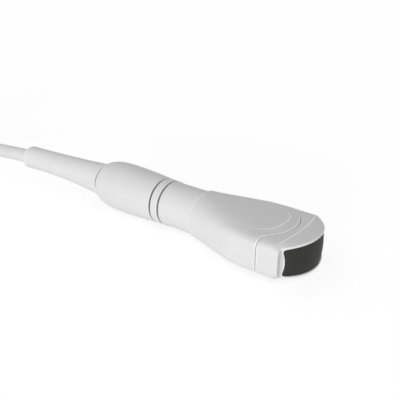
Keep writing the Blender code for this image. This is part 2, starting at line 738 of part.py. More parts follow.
def boot_centre(x):
    """The strain relief's centre line, which droops a little with the weight of the cable."""
    root = REAR_END_X - 6.0 * MM
    if x >= root:
        return 0.0
    return -BOOT_DROOP * ((root - x) / (root - BOOT_END_X)) ** BOOT_DROOP_POWER


def boot_ring(x, radius, count=24):
    """A circle about the drooping centre line."""
    return [
        Vector(
            (
                x,
                radius * math.cos(2 * math.pi * i / count),
                boot_centre(x) + radius * math.sin(2 * math.pi * i / count),
            )
        )
        for i in range(count)
    ]


def make_boot():
    """The flared strain relief, its snap flange inside the rear shell and its bore for the cable."""
    root = REAR_END_X - GAP
    neck = MOUTH_RADIUS - GAP
    flange_x = REAR_END_X + MOUTH_LENGTH + GAP
    flange_radius = min(neck + BOOT_FLANGE_RISE, rear_radius(flange_x) - WALL - GAP)
    flange_end = flange_x + BOOT_FLANGE_LENGTH
    rings = [
        boot_ring(flange_end, neck),
        boot_ring(flange_end - BOOT_ROUNDING, flange_radius),
        boot_ring(flange_x, flange_radius),
        boot_ring(flange_x, neck),
        boot_ring(root, neck),
        boot_ring(root, BOOT_ROOT_RADIUS),
    ]
    length = root - BOOT_END_X
    steps = 10
    for i in range(1, steps + 1):
        t = i / steps
        x = root - (length - BOOT_LIP_LENGTH) * t
        flare = BOOT_WAIST_RADIUS + (BOOT_ROOT_RADIUS - BOOT_WAIST_RADIUS) * (1 - t) ** BOOT_FLARE_POWER
        rings.append(boot_ring(x, flare + (BOOT_END_RADIUS - BOOT_WAIST_RADIUS) * t**12))
    rings.append(boot_ring(BOOT_END_X + BOOT_ROUNDING, BOOT_END_RADIUS - 0.3 * BOOT_ROUNDING))
    rings.append(boot_ring(BOOT_END_X, BOOT_END_RADIUS - 1.8 * BOOT_ROUNDING))
    bore = CABLE_RADIUS + GAP
    rings.append(boot_ring(BOOT_END_X, bore + BOOT_ROUNDING))
    rings.append(boot_ring(BOOT_END_X + 2 * BOOT_ROUNDING, bore))
    for i in range(1, 4):
        rings.append(boot_ring(BOOT_END_X + (root - BOOT_END_X) * i / 4, bore))
    rings.append(boot_ring(flange_end, bore))
    loft("strain_relief_boot", rings, BOOT_GREY, hollow=True)
    return flange_end


def make_cable_anchor(flange_end):
    """The cable's end inside the relief, its two-part clamp, the braid ferrule and the bared cores."""
    clamp_rear = flange_end + GAP
    clamp_front = clamp_rear + CLAMP_LENGTH
    jacket_end = clamp_front + GAP
    places = [BOOT_END_X + GAP + (jacket_end - BOOT_END_X - GAP) * i / 6 for i in range(7)]
    loft("cable_inner_end", [boot_ring(x, CABLE_RADIUS, 20) for x in places], CABLE_GREY)
    bore = rod(
        "clamp_bore",
        (clamp_rear - 1 * MM, 0, 0),
        (clamp_front + 1 * MM, 0, 0),
        CABLE_RADIUS + GAP,
        None,
        28,
        CUTTERS,
    )
    for name, side in (("cable_clamp_upper", 1), ("cable_clamp_lower", -1)):
        half = []
        for i in range(17):
            angle = math.pi * i / 16
            half.append(
                (CLAMP_RADIUS * math.cos(angle), side * (GAP / 2 + (CLAMP_RADIUS - GAP) * math.sin(angle)))
            )
        clamp = loft(
            name,
            [[(x, y, z) for y, z in half] for x in (clamp_rear, clamp_front)],
            ALUMINIUM,
        )
        boolean(clamp, bore)
        for number, y in ((1, -CLAMP_SCREW_OFFSET), (2, CLAMP_SCREW_OFFSET)):
            cutter = rod(
                f"{name}_hole_{number}",
                ((clamp_rear + clamp_front) / 2, y, -CLAMP_RADIUS),
                ((clamp_rear + clamp_front) / 2, y, CLAMP_RADIUS),
                CLAMP_SCREW_RADIUS + GAP,
                None,
                12,
                CUTTERS,
            )
            boolean(clamp, cutter)
    reach = math.sqrt(CLAMP_RADIUS**2 - (CLAMP_SCREW_OFFSET + CLAMP_SCREW_RADIUS) ** 2) - GAP
    for name, y in (("clamp_screw_left", CLAMP_SCREW_OFFSET), ("clamp_screw_right", -CLAMP_SCREW_OFFSET)):
        middle = (clamp_rear + clamp_front) / 2
        rod(name, (middle, y, -reach), (middle, y, reach), CLAMP_SCREW_RADIUS, STEEL, 12)
    bundle_start = jacket_end + GAP
    ferrule_bore = CORE_BUNDLE_RADIUS + GAP
    turned(
        "braid_ferrule",
        [
            (bundle_start + FERRULE_LENGTH, ferrule_bore + FERRULE_WALL),
            (bundle_start, ferrule_bore + FERRULE_WALL),
            (bundle_start, ferrule_bore),
            (bundle_start + FERRULE_LENGTH, ferrule_bore),
        ],
        COPPER,
        20,
    )
    bundle_end = CHASSIS_REAR_X - GAP
    spread_start = bundle_start + FERRULE_LENGTH + GAP
    places = [(bundle_start, 0.0)]
    steps = 4
    for i in range(steps + 1):
        places.append((spread_start + (bundle_end - spread_start) * i / steps, i / steps))
    rings = []
    for x, spread in places:
        rings.append(
            superellipse(
                x,
                CORE_BUNDLE_RADIUS + (BOARD_HALF_WIDTH - 1.5 * MM - CORE_BUNDLE_RADIUS) * spread,
                CORE_BUNDLE_RADIUS,
                2.0 + spread,
                24,
            )
        )
    loft("core_bundle", rings, CABLE_GREY)


def ribbon(name, stations, side, paint):
    """A thin bent sheet: stations give x, height and half width along it."""
    half = FLEX_THICKNESS / 2
    rings = []
    for x, z, half_width in stations:
        rings.append(
            [
                (x, -half_width, side * (z - half)),
                (x, half_width, side * (z - half)),
                (x, half_width, side * (z + half)),
                (x, -half_width, side * (z + half)),
            ]
        )
    return loft(name, rings, paint)


def make_electronics(backing_rear):
    """Array carrier, chassis plate, two boards with their sockets, the flex circuits and the shield."""
    carrier_front = backing_rear - GAP
    carrier_rear = carrier_front - CARRIER_LENGTH
    block(
        "array_carrier",
        (carrier_rear, -CARRIER_HALF_WIDTH, -CARRIER_HALF_HEIGHT),
        (carrier_front, CARRIER_HALF_WIDTH, CARRIER_HALF_HEIGHT),
        ALUMINIUM,
        0.8 * MM,
    )
    half_plate = CHASSIS_THICKNESS / 2
    plate = block(
        "chassis_plate",
        (CHASSIS_REAR_X, -CHASSIS_HALF_WIDTH, -half_plate),
        (carrier_rear - GAP, CHASSIS_HALF_WIDTH, half_plate),
        ALUMINIUM,
    )
    board_low = half_plate + GAP
    board_high = board_low + BOARD_THICKNESS
    boards = []
    for name, side in (("upper", 1), ("lower", -1)):
        heights = sorted((side * board_low, side * board_high))
        board = block(
            f"board_{name}",
            (CHASSIS_REAR_X, -BOARD_HALF_WIDTH, heights[0]),
            (BOARD_FRONT_X, BOARD_HALF_WIDTH, heights[1]),
            BOARD_GREEN,
        )
        boards.append(board)
        socket_rear = BOARD_FRONT_X - FLEX_SOCKET_LENGTH - SOCKET_FROM_EDGE
        header_rear = CHASSIS_REAR_X + SOCKET_FROM_EDGE
        for kind, rear, length, width, height in (
            ("flex_socket", socket_rear, FLEX_SOCKET_LENGTH, FLEX_SOCKET_WIDTH, FLEX_SOCKET_HEIGHT),
            ("wire_header", header_rear, WIRE_HEADER_LENGTH, WIRE_HEADER_WIDTH, WIRE_HEADER_HEIGHT),
        ):
            low = board_high + GAP
            heights = sorted((side * low, side * (low + height)))
            block(
                f"{kind}_{name}",
                (rear, -width / 2, heights[0]),
                (rear + length, width / 2, heights[1]),
                SOCKET_BLACK,
                0.3 * MM,
            )
        array_level = STACK_HALF_HEIGHT + GAP + FLEX_THICKNESS / 2
        socket_level = board_high + 2 * GAP + FLEX_SOCKET_HEIGHT + FLEX_THICKNESS / 2
        socket_half = FLEX_SOCKET_WIDTH / 2
        half_width = CARRIER_HALF_WIDTH + 1.0 * MM
        drop = array_level - socket_level
        ribbon(
            f"flex_circuit_{name}",
            [
                (CHEEK_X - 4.2 * MM, array_level, half_width),
                (carrier_rear + 0.6 * CARRIER_LENGTH, array_level, half_width),
                (carrier_rear, array_level - 0.12 * drop, half_width - 1.0 * MM),
                ((carrier_rear + BOARD_FRONT_X) / 2, array_level - 0.55 * drop, socket_half + 1.5 * MM),
                (BOARD_FRONT_X - 1.0 * MM, array_level - 0.95 * drop, socket_half),
                (socket_rear, socket_level, socket_half),
            ],
            side,
            FLEX_AMBER,
        )
    head_bottom = board_high + GAP
    head_top = head_bottom + BOARD_SCREW_HEAD_HEIGHT
    screw_places = (CHASSIS_REAR_X + BOARD_SCREW_FROM_REAR, BOARD_FRONT_X - BOARD_SCREW_FROM_FRONT)
    for number, x in enumerate(screw_places, start=1):
        hole = rod(
            f"screw_hole_{number}",
            (x, 0, -board_high - 1 * MM),
            (x, 0, board_high + 1 * MM),
            BOARD_SCREW_RADIUS + GAP,
            None,
            16,
            CUTTERS,
        )
        for piece in (plate, *boards):
            boolean(piece, hole)
        screw = turned(
            f"board_screw_{number}",
            [
                (head_top, 0.0),
                (head_top, BOARD_SCREW_HEAD_RADIUS),
                (head_bottom, BOARD_SCREW_HEAD_RADIUS),
                (head_bottom, BOARD_SCREW_RADIUS),
                (-board_high, BOARD_SCREW_RADIUS),
                (-board_high, 0.0),
            ],
            STEEL,
            16,
            closed=False,
        )
        screw.rotation_euler = (0.0, 0.0, 0.0)
        screw.location = (x, 0.0, 0.0)
    shield_outer = NECK_BORE - GAP
    shield_inner = shield_outer - SHIELD_THICKNESS
    shield_rear = -SPIGOT_LENGTH + 1.0 * MM
    turned(
        "emi_shield",
        [
            (shield_rear + SHIELD_LENGTH, shield_outer),
            (shield_rear, shield_outer),
            (shield_rear, shield_inner),
            (shield_rear + SHIELD_LENGTH, shield_inner),
        ],
        COPPER,
    )


def lowest_edge():
    """The line that the probe rests on, from the rear bulge to the underside of the head."""
    rear_places = head_stations(REAR_END_X, REAR_SHELL_FRONT_X, REST_PITCH)
    grip = [(x, rear_radius(x)) for x in rear_places]
    head_places = head_stations(PARTING_SIDE_X - REST_REACH, CREASE_X, REST_PITCH)
    underside = [(x, max(-point.z for point in head_section(x))) for x in head_places]
    rear = max(grip, key=lambda p: p[1])
    for _ in range(REST_TRIES):
        front = max(underside, key=lambda p: (p[1] - rear[1]) / (p[0] - rear[0]))
        slope = (front[1] - rear[1]) / (front[0] - rear[0])
        rear = max(grip, key=lambda p: p[1] - slope * p[0])
    return math.atan2(rear[1] - front[1], front[0] - rear[0])


def lay_down():
    """Tip the probe on to its lowest edge and set its box's bottom centre on the origin."""
    probe.rotation_euler = (0.0, lowest_edge(), 0.0)
    bpy.context.view_layer.update()
    graph = bpy.context.evaluated_depsgraph_get()
    low = Vector((math.inf,) * 3)
    high = Vector((-math.inf,) * 3)
    for obj in PARTS.objects:
        if obj.type != "MESH":
            continue
        seen = obj.evaluated_get(graph)
        for vertex in seen.data.vertices:
            place = seen.matrix_world @ vertex.co
            low = Vector(map(min, low, place))
            high = Vector(map(max, high, place))
    probe.location = (-(low.x + high.x) / 2, -(low.y + high.y) / 2, -low.z)
    bpy.context.view_layer.update()


def tube(name, points, paint):
    """A round cord through the points, its ends capped."""
    curve = bpy.data.curves.new(name, "CURVE")
    curve.dimensions = "3D"
    curve.bevel_depth = CABLE_RADIUS
    curve.bevel_resolution = 3
    curve.use_fill_caps = True
    spline = curve.splines.new("POLY")
    spline.points.add(len(points) - 1)
    for slot, place in zip(spline.points, points):
        slot.co = (*place, 1.0)
        slot.radius = 1.0
    return add_object(name, curve, paint, None)


def stadium(radius, straight, count=16):
    """Plan of a hank: two straight sides and two round ends, about the front fold's centre."""
    outline = []
    for centre_x, start in ((0.0, -math.pi / 2), (-straight, math.pi / 2)):
        for i in range(count + 1):
            angle = start + math.pi * i / count
            x = HANK_FRONT_FOLD_X + centre_x + radius * math.cos(angle)
            outline.append((x, HANK_FRONT_FOLD_Y + radius * math.sin(angle)))
    return outline


def make_cable():
    """The cable to the hank, the hank, its tie and the tail that climbs on to it and ends in the plug."""
    exit_point = probe.matrix_world @ Vector((BOOT_END_X - GAP, 0.0, boot_centre(BOOT_END_X)))
    route = [exit_point] + [Vector(point) * MM for point in CABLE_ROUTE]
    tube("cable", through(route, 2), CABLE_GREY)
    rings = []
    for radius, z in (
        (HANK_OUTER_RADIUS, HANK_BOTTOM),
        (HANK_OUTER_RADIUS, HANK_TOP),
        (HANK_INNER_RADIUS, HANK_TOP),
        (HANK_INNER_RADIUS, HANK_BOTTOM),
    ):
        rings.append([(x, y, z) for x, y in stadium(radius, HANK_STRAIGHT)])
    loft("cable_hank", rings, CABLE_GREY, hollow=True, parent=None)
    tie_x = HANK_FRONT_FOLD_X - TIE_FROM_FRONT_FOLD
    rings = []
    for x, grow in (
        (tie_x - TIE_WIDTH / 2, TIE_THICKNESS),
        (tie_x + TIE_WIDTH / 2, TIE_THICKNESS),
        (tie_x + TIE_WIDTH / 2, 0.0),
        (tie_x - TIE_WIDTH / 2, 0.0),
    ):
        half_width = HANK_OUTER_RADIUS + GAP + grow
        low = HANK_BOTTOM - GAP - grow
        high = HANK_TOP + GAP + grow
        ring = []
        corner = GAP + grow
        for centre_y, centre_z, start in (
            (half_width - corner, high - corner, 0.0),
            (corner - half_width, high - corner, math.pi / 2),
            (corner - half_width, low + corner, math.pi),
            (half_width - corner, low + corner, 1.5 * math.pi),
        ):
            for i in range(5):
                angle = start + math.pi / 8 * i
                y = HANK_FRONT_FOLD_Y + centre_y + corner * math.cos(angle)
                ring.append((x, y, centre_z + corner * math.sin(angle)))
        rings.append(ring)
    loft("cable_tie", rings, TIE_BLACK, hollow=True, parent=None)
    tail_low = HANK_TOP + GAP + CABLE_RADIUS
    end_angle = PLUG_HEADING - math.pi / 2
    points = []
    for i in range(TAIL_STEPS + 1):
        t = i / TAIL_STEPS
        angle = TAIL_START_ANGLE + (end_angle - TAIL_START_ANGLE) * t
        climb = (PLUG_CENTRE_Z - tail_low) * (3 * t**2 - 2 * t**3)
        x = HANK_FRONT_FOLD_X - HANK_STRAIGHT + HANK_FOLD_RADIUS * math.cos(angle)
        y = HANK_FRONT_FOLD_Y + HANK_FOLD_RADIUS * math.sin(angle)
        points.append(Vector((x, y, tail_low + climb)))
    heading = Vector((math.cos(PLUG_HEADING), math.sin(PLUG_HEADING), 0.0))
    points.append(points[-1] + heading * (PLUG_TAIL - GAP))
    tube("cable_tail", points, CABLE_GREY)
    return points[-1] + heading * GAP


def plug_half(name, side, plug):
    """One half of the plug's shell: walls, side posts for the screws, and its share of both openings."""
    front = PLUG_RELIEF_LENGTH + PLUG_BODY_LENGTH
    half = block(
        name,
        (PLUG_RELIEF_LENGTH, -PLUG_BODY_WIDTH / 2, -PLUG_BODY_HEIGHT / 2),
        (front, PLUG_BODY_WIDTH / 2, PLUG_BODY_HEIGHT / 2),
        SHELL_GREY,
        PLUG_ROUNDING,
        parent=plug,
    )
    heights = sorted((side * GAP / 2, -side * PLUG_BODY_HEIGHT))
    other_side = block(
        f"{name}_other_side",
        (0.0, -PLUG_BODY_WIDTH, heights[0]),
        (2 * front, PLUG_BODY_WIDTH, heights[1]),
        None,
        folder=CUTTERS,
        parent=plug,
    )
    boolean(half, other_side)
    inner_width = PLUG_BODY_WIDTH / 2 - PLUG_SIDE_WALL
    inner_height = PLUG_BODY_HEIGHT / 2 - PLUG_WALL
    cavity = block(
        f"{name}_cavity",
        (PLUG_RELIEF_LENGTH + PLUG_WALL, -inner_width, -inner_height),
        (front - PLUG_WALL, inner_width, inner_height),
        None,
        folder=CUTTERS,
        parent=plug,
    )
    boolean(half, cavity)
    opening = block(
        f"{name}_opening",
        (
            front - PLUG_SHROUD_DEPTH - GAP,
            -PLUG_SHROUD_HALF_WIDTH - GAP,
            -PLUG_SHROUD_HALF_HEIGHT - GAP,
        ),
        (front + PLUG_WALL, PLUG_SHROUD_HALF_WIDTH + GAP, PLUG_SHROUD_HALF_HEIGHT + GAP),
        None,
        folder=CUTTERS,
        parent=plug,
    )
    boolean(half, opening)
    entry = rod(
        f"{name}_entry",
        (PLUG_RELIEF_LENGTH - PLUG_WALL, 0, 0),
        (PLUG_RELIEF_LENGTH + 2 * PLUG_WALL, 0, 0),
        PLUG_RELIEF_NECK + GAP,
        None,
        24,
        CUTTERS,
        plug,
    )
    boolean(half, entry)
    return half


def make_plug(start):
    """The connector at the cable's far end: relief, two shell halves, shroud, contacts, board, screws."""
    plug = bpy.data.objects.new("plug_axis", None)
    PARTS.objects.link(plug)
    plug.location = start
    plug.rotation_euler = (0.0, 0.0, PLUG_HEADING)
    front = PLUG_RELIEF_LENGTH + PLUG_BODY_LENGTH
    inside = PLUG_RELIEF_LENGTH + PLUG_WALL + GAP
    halves = [plug_half("plug_shell_upper", 1, plug), plug_half("plug_shell_lower", -1, plug)]
    turned(
        "plug_strain_relief",
        [
            (inside + PLUG_FLANGE_LENGTH, 0.0),
            (inside + PLUG_FLANGE_LENGTH, PLUG_RELIEF_NECK + PLUG_FLANGE_RISE),
            (inside, PLUG_RELIEF_NECK + PLUG_FLANGE_RISE),
            (inside, PLUG_RELIEF_NECK),
            (PLUG_RELIEF_LENGTH - GAP, PLUG_RELIEF_NECK),
            (PLUG_RELIEF_LENGTH - GAP, PLUG_RELIEF_RADIUS),
            (PLUG_RELIEF_LENGTH * 0.6, PLUG_RELIEF_RADIUS * 0.93),
            (PLUG_RELIEF_LENGTH * 0.25, PLUG_RELIEF_TIP_RADIUS * 1.03),
            (PLUG_RELIEF_ROUNDING, PLUG_RELIEF_TIP_RADIUS),
            (0.0, PLUG_RELIEF_TIP_RADIUS - PLUG_RELIEF_ROUNDING),
            (0.0, 0.0),
        ],
        BOOT_GREY,
        20,
        closed=False,
        parent=plug,
    )
    rings = []
    for x, inset in (
        (front - PLUG_SHROUD_DEPTH, 0.0),
        (front + PLUG_SHROUD_LENGTH, 0.0),
        (front + PLUG_SHROUD_LENGTH, PLUG_SHROUD_THICKNESS),
        (front - PLUG_SHROUD_DEPTH, PLUG_SHROUD_THICKNESS),
    ):
        half_width = PLUG_SHROUD_HALF_WIDTH - inset
        rings.append(superellipse(x, half_width, PLUG_SHROUD_HALF_HEIGHT - inset, 8.0, 32))
    shroud_inner = PLUG_BODY_WIDTH / 2 - PLUG_SIDE_WALL
    loft("plug_shroud", rings, ALUMINIUM, hollow=True, parent=plug)
    block_inset = PLUG_SHROUD_THICKNESS + GAP
    rings = []
    for x in (front - PLUG_SHROUD_DEPTH, front + PLUG_SHROUD_LENGTH - PLUG_CONTACT_RECESS):
        half_width = PLUG_SHROUD_HALF_WIDTH - block_inset
        rings.append(superellipse(x, half_width, PLUG_SHROUD_HALF_HEIGHT - block_inset, 8.0, 32))
    loft("contact_block", rings, SOCKET_BLACK, parent=plug)
    board_front = front - PLUG_SHROUD_DEPTH - GAP
    board_half = shroud_inner - GAP
    block(
        "plug_board",
        (board_front - PLUG_BOARD_LENGTH, -board_half, -BOARD_THICKNESS / 2),
        (board_front, board_half, BOARD_THICKNESS / 2),
        BOARD_GREEN,
        parent=plug,
    )
    bundle_start = inside + PLUG_FLANGE_LENGTH + GAP
    loft(
        "plug_core_bundle",
        [
            superellipse(bundle_start, CORE_BUNDLE_RADIUS, CORE_BUNDLE_RADIUS, 2.0, 20),
            superellipse(
                board_front - PLUG_BOARD_LENGTH - GAP, board_half * 0.7, CORE_BUNDLE_RADIUS, 2.6, 20
            ),
        ],
        CABLE_GREY,
        parent=plug,
    )
    middle = PLUG_RELIEF_LENGTH + PLUG_BODY_LENGTH / 2
    side = PLUG_BODY_WIDTH / 2 - PLUG_SIDE_WALL / 2
    number = 0
    for along in (-1, 1):
        for across in (-1, 1):
            number += 1
            x = middle + along * PLUG_SCREW_SPACING / 2
            low = -PLUG_BODY_HEIGHT / 2
            high = PLUG_BODY_HEIGHT / 2 - PLUG_WALL
            hole = rod(
                f"plug_screw_hole_{number}",
                (x, across * side, low - PLUG_WALL),
                (x, across * side, high),
                PLUG_SCREW_RADIUS + GAP,
                None,
                12,
                CUTTERS,
                plug,
            )
            for half in halves:
                boolean(half, hole)
            rod(
                f"plug_screw_{number}",
                (x, across * side, low + 2 * GAP),
                (x, across * side, high - GAP),
                PLUG_SCREW_RADIUS,
                STEEL,
                12,
                parent=plug,
            )


make_lens()
backing_rear_x = make_stack()
make_head()
make_neck()
make_rear_shell()
relief_front_x = make_boot()
make_cable_anchor(relief_front_x)
make_electronics(backing_rear_x)
lay_down()
make_plug(make_cable())
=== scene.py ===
"""Looks of a curved-array ultrasound probe: its fine mouldings, lens, cable, plug and finishes."""

import json
import math

import bpy
import bmesh
from mathutils import Matrix, Vector

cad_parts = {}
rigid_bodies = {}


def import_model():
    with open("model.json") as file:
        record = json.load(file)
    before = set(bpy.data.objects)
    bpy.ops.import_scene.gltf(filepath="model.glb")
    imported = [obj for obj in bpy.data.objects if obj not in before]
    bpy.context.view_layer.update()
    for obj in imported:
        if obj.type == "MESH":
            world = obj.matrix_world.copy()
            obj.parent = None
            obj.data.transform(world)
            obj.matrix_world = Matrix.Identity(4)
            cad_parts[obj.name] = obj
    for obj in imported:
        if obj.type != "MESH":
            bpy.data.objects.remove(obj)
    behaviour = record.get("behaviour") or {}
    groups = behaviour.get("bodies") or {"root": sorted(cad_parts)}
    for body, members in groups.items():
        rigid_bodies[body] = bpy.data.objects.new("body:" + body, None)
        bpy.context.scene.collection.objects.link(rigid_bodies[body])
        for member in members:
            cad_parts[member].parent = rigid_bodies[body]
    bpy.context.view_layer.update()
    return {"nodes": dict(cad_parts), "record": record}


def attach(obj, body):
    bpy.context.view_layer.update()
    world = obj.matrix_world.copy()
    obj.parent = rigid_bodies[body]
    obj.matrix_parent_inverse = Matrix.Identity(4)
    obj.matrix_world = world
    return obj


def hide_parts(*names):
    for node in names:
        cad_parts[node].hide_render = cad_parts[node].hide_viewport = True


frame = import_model()
nodes = frame["nodes"]

MM = 0.001
GAP = 0.3 * MM

# The probe's own axis: X from the cable to the lens, Y across, Z through the thickness
LENS_APEX_X = 87.9 * MM
lens_face = next(mount for mount in frame["record"]["mounts"] if mount["name"] == "lens_face")
axis = Vector(lens_face["axis"]).normalized()
origin = Vector(lens_face["pos_m"]) - axis * LENS_APEX_X
PROBE = Matrix.Translation(origin) @ Matrix((axis, (0, 1, 0), axis.cross((0, 1, 0)))).transposed().to_4x4()

# Head
WALL = 1.5 * MM
NECK_SEAM_X = 25.8 * MM
HEAD_START_RADIUS = 12.05 * MM
HEAD_HALF_WIDTH = 20.6 * MM
HEAD_HALF_THICKNESS = 8.9 * MM
NOSE_HALF_WIDTH = HEAD_HALF_WIDTH - 0.75 * MM
RIM_END_HALF_THICKNESS = 7.2 * MM
RIM_BARREL = 0.9 * MM
CREASE_HALF_THICKNESS = 8.7 * MM
CREASE_X = 79.5 * MM
CREASE_BOW = 2.6 * MM
NOSE_SQUARENESS = 7.5
NOSE_SPIGOT_LENGTH = 5.0 * MM
NOSE_BORE_HALF_HEIGHT = 5.9 * MM
NOSE_FLOOR_DEPTH = 6.0 * MM  # from its cheeks to the floor behind the lens's ledge
PARTING_SIDE_X = 68.9 * MM
PARTING_BULGE = 7.2 * MM
PARTING_HALF_WIDTH = 15.2 * MM
PARTING_POWER = 2.3
DOME_END_X = 70.9 * MM
DOME_HALF_WIDTH = 14.2 * MM
DOME_LENGTH = 13.0 * MM
DOME_POWER = 3.4
DOME_RISE = 0.6 * MM
DOME_EDGE_WIDTH = 5.0 * MM
DOME_RUN_IN = 24.0 * MM
# The head's flare: share of the way to the parting, shares of the widening and thinning, squareness
HEAD_FLARE = [
    (0.0, 0.115, 0.0, 2.0),
    (0.08, 0.185, 0.12, 2.2),
    (0.25, 0.38, 0.33, 2.8),
    (0.44, 0.645, 0.52, 3.6),
    (0.63, 0.885, 0.70, 4.5),
    (0.83, 0.975, 0.86, 5.4),
    (1.0, 1.0, 1.0, 6.0),
]
LIP = 0.3 * MM  # rounding of a moulding's edge at a seam
BEAD = 0.6 * MM  # rounding of the head's edge at the neck
RIM_EDGE = 0.45 * MM  # rounding of the nose's front edge
HEAD_AROUND = 224  # points round a section of the head
EDGE_STEPS = 5  # round each of those edges
CORNER_CROWDING = 0.12  # radians that those points move towards its corners

# Lens
LENS_RADIUS = 23.1 * MM
LENS_CENTRE_X = LENS_APEX_X - LENS_RADIUS
LENS_HALF_ANGLE = math.radians(48.6)
LENS_END_HALF_HEIGHT = 6.4 * MM
LENS_BARREL = 0.75 * MM  # how much higher it is in the middle than at its ends, each way
LENS_END_BOW = 1.5 * MM
LENS_CROWN = 0.5 * MM
LENS_THICKNESS = 1.6 * MM
LENS_SQUARENESS = 14.0
LENS_EDGE = 0.25 * MM
LENS_RINGS = 11  # from its edge to its middle
LENS_LEDGE = 1.2 * MM  # width of the nose's ledge behind it
NOSE_FRONT_RADIUS = LENS_RADIUS - 0.2 * MM
CHEEK_X = 79.5 * MM
CHEEK_WIDTH_Y = math.sqrt(NOSE_FRONT_RADIUS**2 - (CHEEK_X - LENS_CENTRE_X) ** 2)

# Neck, collar and seals
NECK_RADIUS = 11.4 * MM
NECK_BORE = 9.4 * MM
SPIGOT_RADIUS = 10.4 * MM
SPIGOT_LENGTH = 8.0 * MM
FRONT_SPIGOT_LENGTH = 5.5 * MM
GROOVE_WIDTH = 0.9 * MM
GROOVE_DEPTH = 0.5 * MM
COLLAR_LENGTH = 4.3 * MM
COLLAR_RADIUS = 12.0 * MM
COLLAR_X = GROOVE_WIDTH / 2 + GAP
FRONT_GROOVE_X = COLLAR_X + COLLAR_LENGTH
LIP_X = FRONT_GROOVE_X + GROOVE_WIDTH
LIP_LENGTH = 0.9 * MM

# Rear shell and strain relief
REAR_SHELL_FRONT_X = -GROOVE_WIDTH / 2
REAR_END_X = -41.6 * MM
REAR_END_RADIUS = 9.7 * MM
REAR_POWER = 2.6  # how late it draws in behind the bulge
REAR_ROUNDING = 0.62  # how steeply it ends
BULGE_X = -25.0 * MM
BULGE_RADIUS = 13.25 * MM
MOUTH_RADIUS = 8.2 * MM
MOUTH_LENGTH = 2.0 * MM
BOOT_ROOT_RADIUS = 9.3 * MM
BOOT_WAIST_RADIUS = 6.7 * MM
BOOT_END_RADIUS = 7.0 * MM
BOOT_END_X = REAR_END_X - 69.7 * MM
BOOT_FLARE_POWER = 2.4
BOOT_DROOP = 1.65 * MM
BOOT_DROOP_POWER = 2.6
BOOT_FLANGE_LENGTH = 1.8 * MM
BOOT_LIP_LENGTH = 1.6 * MM
BOOT_GROOVE_WIDTH = 1.1 * MM  # shadow groove where the relief meets the shell
BOOT_GROOVE_DEPTH = 0.6 * MM
TURNED_STEPS = 128

# Cable: out of the strain relief, gently down to the floor and round its hank
CABLE_DIAMETER = 8.5 * MM
CABLE_RADIUS = CABLE_DIAMETER / 2
CABLE_ROUTE = [
    (-108.0, 0.0, 14.5),
    (-121.0, 0.0, 13.8),
    (-135.0, 0.1, 12.9),
    (-148.0, 0.6, 11.5),
    (-159.0, 1.7, 9.5),
    (-170.0, 3.8, 7.2),
    (-180.0, 6.6, 5.6),
    (-191.0, 10.6, 4.8),
    (-201.5, 14.1, 5.2),
    (-212.0, 16.6, 5.6),
]
HANK_LAYERS = 3
HANK_FOLD_RADIUS = 25.5 * MM
HANK_STRAIGHT = 75.0 * MM
HANK_FRONT_FOLD = Vector((-223.0, -17.0)) * MM
HANK_BOTTOM = 1.5 * MM
HANK_TOP = HANK_BOTTOM + HANK_LAYERS * CABLE_DIAMETER
HANK_OUTER_LANE = HANK_FOLD_RADIUS + CABLE_DIAMETER
HANK_OUTER_RADIUS = HANK_OUTER_LANE + CABLE_RADIUS
HANK_MEAN_RADIUS = HANK_FOLD_RADIUS + CABLE_RADIUS
HANK_FOLD = math.pi * HANK_MEAN_RADIUS
HANK_TURN = 2 * (HANK_STRAIGHT + HANK_FOLD)
TURN_POINTS = 32
FIRST_MOVE = 195.0 * MM  # how far round the first turn the cable starts to change its place
MOVE_STEP = 30.0 * MM
MOVE_LENGTH = 90.0 * MM
TAIL_CLIMB = 6.75 * MM
TAIL_STEPS = 9

# Tie: a hook-and-loop strap round the hank, its end laid over
STRAP_THICKNESS = 0.8 * MM
STRAP_END_THICKNESS = 0.6 * MM
STRAP_WIDTH = 14.0 * MM
STRAP_CORNER = CABLE_RADIUS
STRAP_X = HANK_FRONT_FOLD.x - 17.0 * MM
STRAP_END_Y = -38.0 * MM
STRAP_START_Y = -4.0 * MM

# Plug
PLUG_HEADING = math.radians(20.0)
PLUG_TAIL = 10.0 * MM
PLUG_GRIP = 3.0 * MM  # length of the cable inside the plug's strain relief
PLUG_BODY_LENGTH = 44.0 * MM
PLUG_BODY_WIDTH = 32.0 * MM
PLUG_BODY_HEIGHT = 19.0 * MM
PLUG_WALL = 2.0 * MM
PLUG_ROUNDING = 2.4 * MM
PLUG_CAVITY_HALF_WIDTH = 11.0 * MM
PLUG_CAVITY_HALF_HEIGHT = 6.0 * MM
PLUG_RIBS = 6
PLUG_RIB_PITCH = 2.6 * MM
PLUG_RIB_DEPTH = 0.45 * MM
PLUG_RELIEF_LENGTH = 18.0 * MM
PLUG_RELIEF_RADIUS = 6.6 * MM
PLUG_RELIEF_TIP_RADIUS = 5.2 * MM
PLUG_RELIEF_NECK = 4.6 * MM
PLUG_FRONT = PLUG_RELIEF_LENGTH + PLUG_BODY_LENGTH
SHROUD_LENGTH = 8.0 * MM
SHROUD_DEPTH = 6.0 * MM
SHROUD_HALF_WIDTH = 12.5 * MM
SHROUD_HALF_HEIGHT = 6.0 * MM
SHROUD_WALL = 0.9 * MM
CONTACT_RECESS = 1.5 * MM
CONTACTS = 12
CONTACT_PITCH = 1.6 * MM
PLUG_SCREW_RADIUS = 1.1 * MM
PLUG_SCREW_HEAD_RADIUS = 1.9 * MM
PLUG_SCREW_SPACING = 26.0 * MM
PLUG_SCREW_Y = 13.5 * MM
PLUG_AROUND = 112

# Camera, as the photograph was taken, given along the probe's own axis
CAMERA_PLACE = Vector((175.24, -195.46, 121.33)) * MM
CAMERA_RIGHT = Vector((0.7891, 0.6142, 0.0025))
CAMERA_UP = Vector((-0.2596, 0.3298, 0.9077))
CAMERA_LENS = 49.95

